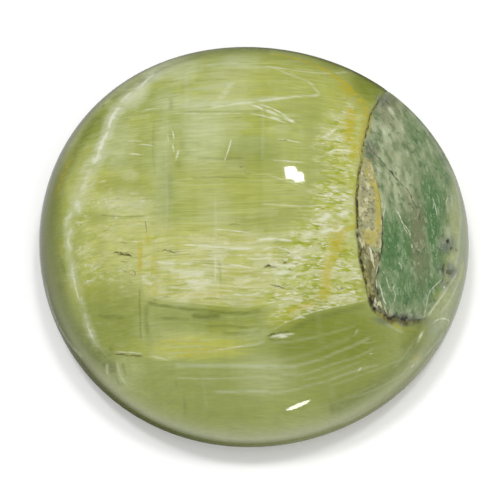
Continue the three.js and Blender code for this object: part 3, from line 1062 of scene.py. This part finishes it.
def opal_colour(tree, grain, place):
    """The colour of the fibrous opal, layer by layer."""
    colour = add(
        tree,
        "Mix",
        {FACTOR: grain["layer"], A: linear("#9ba452"), B: linear("#b5bc6b")},
        data_type="RGBA",
    ).outputs[MIXED]
    growth = [
        ("band", 0.42, 0.62, "#bac184", 0.3),
        ("cloud", 0.45, 0.7, "#9fa85c", 0.5),
        ("olive_block", 0.4, 1.0, "#939d4c", 0.45),
        ("lime_block", 0.5, 1.0, "#b3bb4c", 0.4),
        ("pale_block", 0.5, 1.0, "#c2c894", 0.32),
        ("olive_chip", 0.6, 1.0, "#95a04a", 0.3),
        ("pale_chip", 0.6, 1.0, "#c6cc96", 0.25),
    ]
    colour = layered(tree, grain, colour, growth)
    # Single fibres stand out in some places and are hardly seen in others.
    lined = add(
        tree,
        "MapRange",
        {"Value": grain["clump"], "From Min": 0.4, "From Max": 0.6, "To Min": 0.3},
        interpolation_type="SMOOTHSTEP",
    ).outputs[0]
    lines = [("streak", 0.52, 0.7, "#cdd29c", 0.4), ("thread", 0.55, 0.72, "#8d984a", 0.34)]
    colour = layered(tree, grain, colour, lines, lined)
    lower = area_share(tree, "lower_zone", -0.04, 0.12)
    lower = add(tree, "Math", {0: lower, 1: 0.72}, operation="MULTIPLY").outputs[0]
    colour = add(
        tree, "Mix", {FACTOR: lower, A: colour, B: linear("#9ba55e")}, data_type="RGBA"
    ).outputs[MIXED]
    tints = [
        ("pale", "#cad0a2", 0.35),
        ("cream", "#c9ca86", 0.6),
        ("yellow", "#bbbd56", 0.45),
        ("olive", "#838e36", 0.35),
    ]
    colour = patched(tree, grain["fibre"], colour, tints)
    return rim_colour_and_painted_shade(tree, grain, colour, place)


# The opal's darker rim, partly its deeper body colour and partly painted shade, and its still
# darker edge, a painted dark reflection of the stone's shadow. The heights are where each
# starts and where it is full, in mm.
RIM_HEIGHTS = (4.8, 2.4)
RIM_STRENGTH = 0.48
LEFT_END = (-6.0, -11.0)  # mm along X
LEFT_LIFT = 1.6  # how much higher up the rim starts at the left end, in mm
LEFT_STRENGTH = 0.44  # how much is added to its strength there
PAINTED_EDGE_HEIGHTS = (4.6, 3.0)
PAINTED_EDGE_TILT = 0.075  # how much higher the edge starts, by how far back it is
PAINTED_EDGE_STRENGTHS = (0.65, 0.1)  # all round, and at the front right
FRONT_SHARE = 0.6  # how much a mm to the front counts beside one to the right
FRONT_RIGHT = (2.0, 10.0)  # mm that way, from all round to the front right


def rim_colour_and_painted_shade(tree, grain, colour, place):
    """The stone is coloured deeper and browner where it turns over towards the girdle: partly its
    deeper body colour, partly painted shade. At its left end that starts higher up and goes
    further. Its very edge is darkest, a painted dark reflection of the stone's shadow, but hardly
    so at the front right. The edge lies higher at the back of the stone than at the front."""
    x, y, height = add(tree, "SeparateXYZ", {0: place}).outputs
    end = add(
        tree, "MapRange", {"Value": x, "From Min": LEFT_END[0], "From Max": LEFT_END[1]}
    ).outputs[0]
    lifted = add(
        tree, "Math", {0: end, 1: -LEFT_LIFT, 2: height}, operation="MULTIPLY_ADD"
    ).outputs[0]
    rim = add(
        tree,
        "MapRange",
        {"Value": lifted, "From Min": RIM_HEIGHTS[0], "From Max": RIM_HEIGHTS[1]},
        interpolation_type="SMOOTHSTEP",
    ).outputs[0]
    most = add(
        tree, "Math", {0: end, 1: LEFT_STRENGTH, 2: RIM_STRENGTH}, operation="MULTIPLY_ADD"
    ).outputs[0]
    rim = add(tree, "Math", {0: rim, 1: most}, operation="MULTIPLY").outputs[0]
    # Painted shade, together with the rim's deeper body colour.
    colour = add(
        tree, "Mix", {FACTOR: rim, A: colour, B: linear("#6f733a")}, data_type="RGBA"
    ).outputs[MIXED]
    # The rind, and the smoky patches of painted shade round the pits.
    border = [("rind", "#929e78", 0.5), ("smoky", "#6a7362", 0.5)]
    colour = patched(tree, grain["flake"], colour, border)
    tilted = add(
        tree, "Math", {0: y, 1: -PAINTED_EDGE_TILT, 2: height}, operation="MULTIPLY_ADD"
    ).outputs[0]
    front_right = add(
        tree, "Math", {0: y, 1: -FRONT_SHARE, 2: x}, operation="MULTIPLY_ADD"
    ).outputs[0]
    most = add(
        tree,
        "MapRange",
        {
            "Value": front_right,
            "From Min": FRONT_RIGHT[0],
            "From Max": FRONT_RIGHT[1],
            "To Min": PAINTED_EDGE_STRENGTHS[0],
            "To Max": PAINTED_EDGE_STRENGTHS[1],
        },
    ).outputs[0]
    edge = add(
        tree,
        "MapRange",
        {
            "Value": tilted,
            "From Min": PAINTED_EDGE_HEIGHTS[0],
            "From Max": PAINTED_EDGE_HEIGHTS[1],
            "To Max": most,
        },
        interpolation_type="SMOOTHSTEP",
    ).outputs[0]
    # Painted shade: the dark reflection of the stone's shadow at its very edge.
    return add(
        tree, "Mix", {FACTOR: edge, A: colour, B: linear("#4c512a")}, data_type="RGBA"
    ).outputs[MIXED]


def cream_fibres(tree, grain, colour):
    """The band of cream fibres between the middle and the lower zone. It ends sharply below
    and fades out above."""
    inside = area_share(tree, "cream_band", -0.04, 0.06)
    milky = add(tree, "Attribute", attribute_name="milky").outputs["Fac"]
    inside = add(tree, "Math", {0: inside, 1: milky}, operation="MULTIPLY").outputs[0]
    layers = [
        ("fibre", 0.3, 0.55, "#c9ca8c", 0.75),
        ("lime_chip", 0.45, 0.7, "#bbbe5c", 0.5),
        ("pale_chip", 0.5, 0.75, "#d6d7ae", 0.5),
        ("streak", 0.5, 0.62, "#d6d7ac", 0.4),
        ("thread", 0.54, 0.66, "#b2b352", 0.5),
        ("splinter", 0.59, 0.68, "#e2e2c0", 0.4),
        ("hair", 0.64, 0.74, "#a39c4c", 0.4),
    ]
    return layered(tree, grain, colour, layers, inside)


def frayed_fibres(tree, grain, colour):
    """The frayed fibre ends beside the contact and near the left end: whitish and leaf-green
    flecks, and short dark cracks. They end sharply at the lower zone."""
    ragged = add(tree, "Math", {0: grain["fleck"], 1: 0.9}, operation="MULTIPLY").outputs[0]
    ragged = add(
        tree, "Math", {0: grain["clump"], 1: 1.8, 2: ragged}, operation="MULTIPLY_ADD"
    ).outputs[0]
    inside = area_share(tree, "fray", 1.1, 2.2, ragged)
    above = area_share(tree, "lower_zone", 0.06, -0.04)
    inside = add(tree, "Math", {0: inside, 1: above}, operation="MULTIPLY").outputs[0]
    layers = [
        ("cloud", 0.3, 0.6, "#babe5c", 0.55),
        ("lime_chip", 0.5, 0.75, "#aab43f", 0.55),
        ("fleck", 0.48, 0.6, "#cfd09c", 0.7),
        ("leaf", 0.52, 0.6, "#9aa52c", 0.85),
        ("pale_chip", 0.55, 0.8, "#d4d5ab", 0.5),
    ]
    colour = layered(tree, grain, colour, layers, inside)
    # The whitish splinters and the cracks come in clumps, with calmer fibres between them.
    clumped = add(
        tree,
        "MapRange",
        {"Value": grain["clump"], "From Min": 0.4, "From Max": 0.58, "To Min": 0.2},
        interpolation_type="SMOOTHSTEP",
    ).outputs[0]
    clumped = add(tree, "Math", {0: clumped, 1: inside}, operation="MULTIPLY").outputs[0]
    splinters = [("splinter", 0.53, 0.63, "#e0e2c8", 0.85), ("hair", 0.62, 0.72, "#7d7434", 0.65)]
    return layered(tree, grain, colour, splinters, clumped)


def stroke_share(tree, grain, kind, names):
    """How much of a kind of stroke shows, drawn in the manner of its kind."""
    _, breaking, least, reach, core, edge = STROKE_KINDS[kind]
    swings = grain["pepper"] if kind == "dark" else grain["splinter"]
    wobble = add(
        tree,
        "MapRange",
        {
            "Value": swings,
            "From Min": NOISE_LOW,
            "From Max": NOISE_HIGH,
            "To Min": -reach,
            "To Max": reach,
        },
    ).outputs[0]
    shown = 0.0
    for name in names:
        values = add(tree, "Attribute", attribute_name=name).outputs["Vector"]
        parts = add(tree, "SeparateXYZ", {0: values}).outputs
        offset = add(tree, "Math", {0: parts[0], 1: wobble}, operation="ADD").outputs[0]
        distance = add(tree, "Math", {0: offset}, operation="ABSOLUTE").outputs[0]
        outer = add(tree, "Math", {0: parts[2], 1: edge}, operation="MULTIPLY").outputs[0]
        inner = add(tree, "Math", {0: parts[2], 1: core}, operation="MULTIPLY").outputs[0]
        share = add(
            tree,
            "MapRange",
            {"Value": distance, "From Min": outer, "From Max": inner},
            interpolation_type="SMOOTHSTEP",
        ).outputs[0]
        share = add(tree, "Math", {0: share, 1: parts[1]}, operation="MULTIPLY").outputs[0]
        shown = add(tree, "Math", {0: share, 1: shown}, operation="MAXIMUM").outputs[0]
    broken = add(
        tree,
        "MapRange",
        {"Value": grain[breaking], "From Min": 0.36, "From Max": 0.56, "To Min": least},
    ).outputs[0]
    return add(tree, "Math", {0: shown, 1: broken}, operation="MULTIPLY").outputs[0]


VEIN_WOBBLE = 0.1  # mm
BEAD_RATE = 1.1  # turns of their noise a millimetre
# The soft band and the beads: how many half widths each reaches out, and its least and most
# strength
VEIN_LAYERS = [(2.4, 0.35, 0.5), (1.0, 0.3, 1.0)]


def vein_share(tree, grain):
    """The whitish vein near the left rim: a soft band with a row of brighter beads in it."""
    values = add(tree, "Attribute", attribute_name="vein").outputs["Vector"]
    offset, along, half_width = add(tree, "SeparateXYZ", {0: values}).outputs
    wobble = add(
        tree,
        "MapRange",
        {
            "Value": grain["fleck"],
            "From Min": NOISE_LOW,
            "From Max": NOISE_HIGH,
            "To Min": -VEIN_WOBBLE,
            "To Max": VEIN_WOBBLE,
        },
    ).outputs[0]
    offset = add(tree, "Math", {0: offset, 1: wobble}, operation="ADD").outputs[0]
    distance = add(tree, "Math", {0: offset}, operation="ABSOLUTE").outputs[0]
    relative = add(tree, "Math", {0: distance, 1: half_width}, operation="DIVIDE").outputs[0]
    beads = add(
        tree,
        "TexNoise",
        {"W": along, "Scale": BEAD_RATE, "Detail": 2.0},
        noise_dimensions="1D",
    ).outputs[0]
    shares = []
    for reach, low, most in VEIN_LAYERS:
        bright = add(
            tree,
            "MapRange",
            {"Value": beads, "From Min": 0.35, "From Max": 0.6, "To Min": low, "To Max": most},
        ).outputs[0]
        share = add(
            tree,
            "MapRange",
            {"Value": relative, "From Min": reach, "From Max": 0.2 * reach},
            interpolation_type="SMOOTHSTEP",
        ).outputs[0]
        shares.append(add(tree, "Math", {0: share, 1: bright}, operation="MULTIPLY").outputs[0])
    share = add(tree, "Math", {0: shares[0], 1: shares[1]}, operation="MAXIMUM").outputs[0]
    crossed = add(
        tree,
        "MapRange",
        {"Value": grain["splinter"], "From Min": 0.35, "From Max": 0.6, "To Min": 0.7},
    ).outputs[0]
    share = add(tree, "Math", {0: share, 1: crossed}, operation="MULTIPLY").outputs[0]
    strength = add(tree, "Attribute", attribute_name="vein_strength").outputs["Fac"]
    return add(tree, "Math", {0: share, 1: strength}, operation="MULTIPLY").outputs[0]


# The tan wedge and the glittering brown band between the contact and the host rock: a
# ground colour, and what lies over it. Their palest specks are painted glints.
FILLINGS = [
    (
        "wedge",
        "#a4a57b",
        [
            ("flake", 0.45, 0.6, "#b9b482", 0.8),
            ("grit", 0.52, 0.62, "#6c6850", 0.7),
            # painted glints
            ("pepper", 0.54, 0.62, "#dad5a8", 0.8),
        ],
    ),
    (
        "brown_band",
        "#7e825a",
        [
            ("flake", 0.45, 0.6, "#a19f76", 0.8),
            ("pepper", 0.5, 0.6, "#45432a", 0.8),
            ("grit", 0.55, 0.63, "#3c3a24", 0.6),
            # painted glints
            ("shard", 0.54, 0.62, "#dcdab2", 0.85),
        ],
    ),
]


def rock_colour(tree, grain):
    """The host rock: grey-green with emerald patches and brownish stains, flaky all over, with
    painted shade in and round its pits.
    """
    spread = add(
        tree, "MapRange", {"Value": grain["flake"], "From Min": 0.34, "From Max": 0.66}
    ).outputs[0]
    colour = add(
        tree,
        "Mix",
        {FACTOR: spread, A: linear("#76875c"), B: linear("#b7bc94")},
        data_type="RGBA",
    ).outputs[MIXED]
    # The smoky patches among these are painted shade in and round the pits.
    stains = [("emerald", "#4f7a42", 0.4), ("brown", "#7f7a5c", 0.3), ("smoky", "#6a7362", 0.5)]
    colour = patched(tree, grain["shard"], colour, stains)
    specks = [
        ("flake", 0.5, 0.68, "#a7b690", 0.35),
        ("shard", 0.55, 0.7, "#b9c7a2", 0.42),
        ("pepper", 0.55, 0.68, "#3f633a", 0.55),
        ("grit", 0.6, 0.74, "#ccd4b6", 0.4),
    ]
    colour = layered(tree, grain, colour, specks)
    for name, ground, mottling in FILLINGS:
        filled = layered(tree, grain, linear(ground), mottling)
        filled = patched(tree, grain["pepper"], filled, [("yellow", "#b9ae5a", 0.9)])
        inside = area_share(tree, name, -0.06, 0.08)
        colour = add(
            tree, "Mix", {FACTOR: inside, A: colour, B: filled}, data_type="RGBA"
        ).outputs[MIXED]
    return colour


def rock_share(tree, grain):
    """Where the host rock is: it ends sharply at the contact and fades out at its border."""
    ends = []
    for name, raggedness, low, high in [
        ("past_contact", 0.4, 0.15, 0.25),
        ("inside_border", 1.2, 0.35, 0.95),
    ]:
        ragged = add(
            tree, "Math", {0: grain["flake"], 1: raggedness}, operation="MULTIPLY"
        ).outputs[0]
        ends.append(area_share(tree, name, low, high, ragged))
    return add(tree, "Math", {0: ends[0], 1: ends[1]}, operation="MULTIPLY").outputs[0]


# The fibres sway a little on their way across the stone, and the frayed ones ruffle too: how
# many turns a millimetre, and how far each way in mm
SWAY = (0.2, (0.0, 0.7, 0.3))
RUFFLE = (0.9, (0.0, 0.12, 0.06))

# Fibres, finer hairs and the growth bands across them are lighter and darker by this much.
CONTRASTS = {"fibre": 0.055, "hair": 0.06, "weave": 0.03}

# The colours are those of a white card's light. The top of the dome gets this much of it.
LIGHT_LEVEL = 1.28

# The polish leaves the fibres all but level and the rock's grain a little open. The fibres
# and the cracks are counted by the rock's opening.
OPAL_IOR = 1.45
OPAL_ROUGHNESS = 0.05
ROCK_ROUGHNESS = 0.3
ROCK_OPENING = 0.02  # mm
FIBRE_OPENING = 0.06
CRACK_OPENING = 1.5


def opal_material(names):
    """Green common opal, cut and polished: glassy over long fine fibres. The patch of host
    rock in it takes a duller polish and shows its grain. Names are those of all that is kept
    at the vertices, and the strokes of a kind are the names that start with it. The patches
    named pale are among them, so they are drawn in the manner of a pale stroke too."""
    material = bpy.data.materials.new("polished_fibrous_opal")
    material.use_nodes = True
    tree = material.node_tree
    tree.nodes.clear()
    place = add(tree, "TexCoord").outputs["Object"]
    place = add(tree, "VectorMath", {0: place, "Scale": 1 / MM}, operation="SCALE").outputs[0]
    places = [place]
    for rate, reach in (SWAY, RUFFLE):
        moved = add(tree, "TexNoise", {"Vector": place, "Scale": rate, "Detail": 1.0}).outputs[1]
        moved = add(
            tree, "VectorMath", {0: moved, 1: (0.5, 0.5, 0.5)}, operation="SUBTRACT"
        ).outputs[0]
        moved = add(
            tree, "VectorMath", {0: moved, 1: reach, 2: places[-1]}, operation="MULTIPLY_ADD"
        ).outputs[0]
        places.append(moved)
    grain = grain_sockets(tree, places[1], places[2])
    colour = opal_colour(tree, grain, place)
    colour = cream_fibres(tree, grain, colour)
    colour = frayed_fibres(tree, grain, colour)
    for name, contrast in CONTRASTS.items():
        level = add(
            tree,
            "MapRange",
            {
                "Value": grain[name],
                "From Min": NOISE_LOW,
                "From Max": NOISE_HIGH,
                "To Min": 1.0 - contrast,
                "To Max": 1.0 + contrast,
            },
        ).outputs[0]
        colour = add(tree, "VectorMath", {0: colour, "Scale": level}, operation="SCALE").outputs[0]
    drawn = {
        kind: stroke_share(tree, grain, kind, [name for name in names if name.startswith(kind)])
        for kind in STROKE_KINDS
    }
    rock = rock_share(tree, grain)
    # Cracks, and the painted shade in the pits: both are dark strokes.
    crack = add(
        tree, "Mix", {FACTOR: rock, A: linear("#5c5320"), B: linear("#34321f")}, data_type="RGBA"
    ).outputs[MIXED]
    # Some strokes are painted light: shade strokes along the rims add painted shade, haze strokes there
    # are painted reflections, and some pale strokes are painted glints and highlights.
    coats = [
        (vein_share(tree, grain), linear("#e7ead3")),
        (drawn["shade"], linear("#6f7a34")),
        (rock, rock_colour(tree, grain)),
        (drawn["haze_and_reflection"], linear("#c3caa4")),
        (drawn["ochre"], linear("#bdb030")),
        (drawn["pale"], linear("#e4e7cb")),
        (drawn["dark"], crack),
    ]
    for share, coat in coats:
        colour = add(
            tree, "Mix", {FACTOR: share, A: colour, B: coat}, data_type="RGBA"
        ).outputs[MIXED]
    colour = add(
        tree, "VectorMath", {0: colour, "Scale": 1 / LIGHT_LEVEL}, operation="SCALE"
    ).outputs[0]
    roughness = add(
        tree, "MapRange", {"Value": rock, "To Min": OPAL_ROUGHNESS, "To Max": ROCK_ROUGHNESS}
    ).outputs[0]
    fine = add(
        tree, "Math", {0: grain["fibre"], 1: FIBRE_OPENING}, operation="MULTIPLY"
    ).outputs[0]
    coarse = add(
        tree, "Math", {0: grain["grit"], 1: rock, 2: fine}, operation="MULTIPLY_ADD"
    ).outputs[0]
    opened = add(
        tree, "Math", {0: drawn["dark"], 1: -CRACK_OPENING, 2: coarse}, operation="MULTIPLY_ADD"
    ).outputs[0]
    bump = add(
        tree, "Bump", {"Strength": 1.0, "Distance": ROCK_OPENING * MM, "Height": opened}
    ).outputs[0]
    surface = add(
        tree,
        "BsdfPrincipled",
        {"Base Color": colour, "Roughness": roughness, "IOR": OPAL_IOR, "Normal": bump},
    )
    output = add(tree, "OutputMaterial")
    tree.links.new(surface.outputs[0], output.inputs["Surface"])
    return material


def to_world(point):
    """A point set out in millimetres from the middle of the girdle's curve, in metres."""
    return Vector((point + CENTRING) * MM)


def make_camera():
    """The camera that the marks are laid out for."""
    camera = bpy.data.cameras.new("camera")
    camera.sensor_width = SENSOR
    camera.lens = SENSOR * CAMERA_DISTANCE / FRAME_WIDTH
    camera.clip_start = CLIP_START * MM
    holder = bpy.data.objects.new("camera", camera)
    holder.location = to_world(EYE)
    holder.rotation_euler = Vector(BACK).to_track_quat("Z", "Y").to_euler()
    bpy.context.scene.collection.objects.link(holder)
    bpy.context.scene.camera = holder


FLOOR_SIZE = 3.0  # metres
FLOOR_GAP = 0.02  # mm


def make_floor():
    """A wide plain sheet just under the stone."""
    bm = bmesh.new()
    bmesh.ops.create_grid(bm, x_segments=1, y_segments=1, size=FLOOR_SIZE)
    bmesh.ops.translate(bm, verts=bm.verts, vec=(0.0, 0.0, -FLOOR_GAP * MM))
    mesh = bpy.data.meshes.new("floor")
    bm.to_mesh(mesh)
    bm.free()
    floor = bpy.data.objects.new("floor", mesh)
    bpy.context.scene.collection.objects.link(floor)
    # The dome mirrors the surroundings of the world and not this sheet.
    floor.visible_glossy = False
    card = bpy.data.materials.new("white_card")
    card.use_nodes = True
    shader = card.node_tree.nodes["Principled BSDF"]
    shader.inputs["Base Color"].default_value = linear("#fafafa")
    shader.inputs["Roughness"].default_value = 1.0
    shader.inputs["Specular IOR Level"].default_value = 0.0
    mesh.materials.append(card)


# What the polish mirrors. A ray that only grazes the stone keeps its way, and one that meets
# it squarely comes back: by half of how far its way changes, how much it sees of the stone's
# shadow, of the bright table round that and of the dim room.
MIRRORED = [
    (0.0, (1.0, 0.0, 0.0)),
    (0.33, (1.0, 0.0, 0.0)),
    (0.45, (0.0, 1.0, 0.0)),
    (0.51, (0.0, 1.0, 0.0)),
    (0.72, (0.0, 0.0, 1.0)),
    (1.0, (0.0, 0.0, 1.0)),
]
ROOM_LEVEL = 0.35
SKY_LEVEL = 0.9
SHADOW_LEVEL = 0.16
SHADOW_ENDS = 0.46
SHADOW_DIAGONAL = -0.3
TABLE_LEVEL = 0.55
TABLE_RIGHT = 0.1
TABLE_FRONT = 1.05
TABLE_LEAST = 0.05


def make_world():
    """Plain white for the camera, an even sky to light the stone, and for the polish to
    mirror a dim room over a table that is brighter to the front and the right."""
    world = bpy.data.worlds.new("studio")
    bpy.context.scene.world = world
    world.use_nodes = True
    tree = world.node_tree
    tree.nodes.clear()
    direction = add(tree, "TexCoord").outputs["Generated"]
    change = add(tree, "VectorMath", {0: direction, 1: tuple(BACK)}, operation="ADD").outputs[0]
    length = add(tree, "VectorMath", {0: change}, operation="LENGTH").outputs["Value"]
    half = add(tree, "Math", {0: length, 1: 0.5}, operation="MULTIPLY").outputs[0]
    ramp = add(tree, "ValToRGB", {0: half})
    elements = ramp.color_ramp.elements
    for place, _ in MIRRORED[1:-1]:
        elements.new(place)
    for element, (place, shares) in zip(elements, MIRRORED):
        element.position = place
        element.color = (*shares, 1.0)
    flat = add(tree, "VectorMath", {0: change, 1: (1.0, 1.0, 0.0)}, operation="MULTIPLY").outputs[0]
    flat = add(tree, "VectorMath", {0: flat}, operation="NORMALIZE").outputs[0]
    x, y, _ = add(tree, "SeparateXYZ", {0: flat}).outputs
    # The shadow is lighter at the left and right ends, and on one diagonal.
    ends = add(tree, "Math", {0: x, 1: 4.0}, operation="POWER").outputs[0]
    diagonal = add(tree, "Math", {0: x, 1: y}, operation="MULTIPLY").outputs[0]
    shadow = add(
        tree, "Math", {0: ends, 1: SHADOW_ENDS, 2: SHADOW_LEVEL}, operation="MULTIPLY_ADD"
    ).outputs[0]
    shadow = add(
        tree, "Math", {0: diagonal, 1: SHADOW_DIAGONAL, 2: shadow}, operation="MULTIPLY_ADD"
    ).outputs[0]
    # The table is brighter to the front and the right.
    table = add(
        tree, "Math", {0: x, 1: TABLE_RIGHT, 2: TABLE_LEVEL}, operation="MULTIPLY_ADD"
    ).outputs[0]
    table = add(
        tree, "Math", {0: y, 1: -TABLE_FRONT, 2: table}, operation="MULTIPLY_ADD"
    ).outputs[0]
    table = add(tree, "Math", {0: table, 1: TABLE_LEAST}, operation="MAXIMUM").outputs[0]
    levels = add(tree, "CombineXYZ", {0: shadow, 1: table, 2: ROOM_LEVEL}).outputs[0]
    mirrored = add(
        tree, "VectorMath", {0: ramp.outputs[0], 1: levels}, operation="DOT_PRODUCT"
    ).outputs["Value"]
    rays = add(tree, "LightPath").outputs
    level = add(
        tree,
        "Mix",
        {FACTOR: rays["Is Glossy Ray"], NUMBER_A: SKY_LEVEL, NUMBER_B: mirrored},
        data_type="FLOAT",
    ).outputs[0]
    level = add(
        tree,
        "Mix",
        {FACTOR: rays["Is Camera Ray"], NUMBER_A: level, NUMBER_B: 1.0},
        data_type="FLOAT",
    ).outputs[0]
    sky = add(tree, "Background", {"Color": (1.0, 1.0, 1.0, 1.0), "Strength": level}).outputs[0]
    output = add(tree, "OutputWorld")
    tree.links.new(sky, output.inputs["Surface"])


# How high both keys stand and how wide they look from the stone, in degrees
KEY_ELEVATION = 72
KEY_SPREAD = 8


def make_key(name, azimuth, strength):
    """A soft even light from far off. Azimuth is counted from +X towards +Y."""
    light = bpy.data.lights.new(name, "SUN")
    light.energy = strength
    light.angle = math.radians(KEY_SPREAD)
    holder = bpy.data.objects.new(name, light)
    azimuth, elevation = math.radians(azimuth), math.radians(KEY_ELEVATION)
    toward = Vector(
        (
            math.cos(elevation) * math.cos(azimuth),
            math.cos(elevation) * math.sin(azimuth),
            math.sin(elevation),
        )
    )
    holder.rotation_euler = toward.to_track_quat("Z", "Y").to_euler()
    holder.visible_glossy = False
    bpy.context.scene.collection.objects.link(holder)


LAMP_DISTANCE = 500.0
SLOPE_STEP = 0.01


def mirrored_way(pixel):
    """The point of the dome that the camera sees at a pixel, and the way that it mirrors."""
    point = on_stone([pixel])[0]
    x, y = point[:2]
    rise_x = dome_height(x + SLOPE_STEP, y) - dome_height(x - SLOPE_STEP, y)
    rise_y = dome_height(x, y + SLOPE_STEP) - dome_height(x, y - SLOPE_STEP)
    slope_x = rise_x / (2 * SLOPE_STEP)
    slope_y = rise_y / (2 * SLOPE_STEP)
    normal = np.array([-slope_x, -slope_y, 1.0])
    normal /= np.linalg.norm(normal)
    view = (EYE - point) / np.linalg.norm(EYE - point)
    return point, 2 * (normal @ view) * normal - view


def make_glint(name, pixel, shape, size, rise, radiance):
    """A lamp that the dome mirrors to the camera at a pixel. Its size is that of its mirror
    image in pixels, and the image rises to the right by some degrees."""
    point, toward = mirrored_way(pixel)
    rise = math.radians(rise)
    long_way = np.array([math.cos(rise), -math.sin(rise)])
    short_way = np.array([math.sin(rise), math.cos(rise)])
    spans = [
        LAMP_DISTANCE * (mirrored_way(pixel + way)[1] - mirrored_way(pixel - way)[1]) / 2
        for way in (long_way, short_way)
    ]
    light = bpy.data.lights.new(name, "AREA")
    light.shape = shape
    light.size = size[0] * np.linalg.norm(spans[0]) * MM
    light.size_y = size[1] * np.linalg.norm(spans[1]) * MM
    light.energy = radiance * math.pi * light.size * light.size_y
    holder = bpy.data.objects.new(name, light)
    axis = Vector(toward).normalized()
    side = Vector(spans[0])
    side = (side - side.dot(axis) * axis).normalized()
    turned = Matrix((side, axis.cross(side), axis)).transposed().to_4x4()
    holder.matrix_world = Matrix.Translation(to_world(point + toward * LAMP_DISTANCE)) @ turned
    holder.visible_camera = False
    holder.visible_diffuse = False
    bpy.context.scene.collection.objects.link(holder)


make_camera()
make_floor()
make_world()
make_key("left_key", 126, 0.66)
make_key("right_key", 54, 0.58)
make_glint("window", (291.3, 173.2), "RECTANGLE", (11, 11.5), 0, 60)
make_glint("window_lower_pane", (298.6, 176.8), "RECTANGLE", (10, 7.5), 0, 60)
make_glint("front_lamp", (298.5, 405.5), "ELLIPSE", (26, 3.4), 24, 16)
bpy.context.scene.view_settings.view_transform = "Standard"

stone = make_stone()
stone.data.materials.append(opal_material(stone.data.attributes.keys()))
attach(stone, "root")
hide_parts("opal_cabochon")
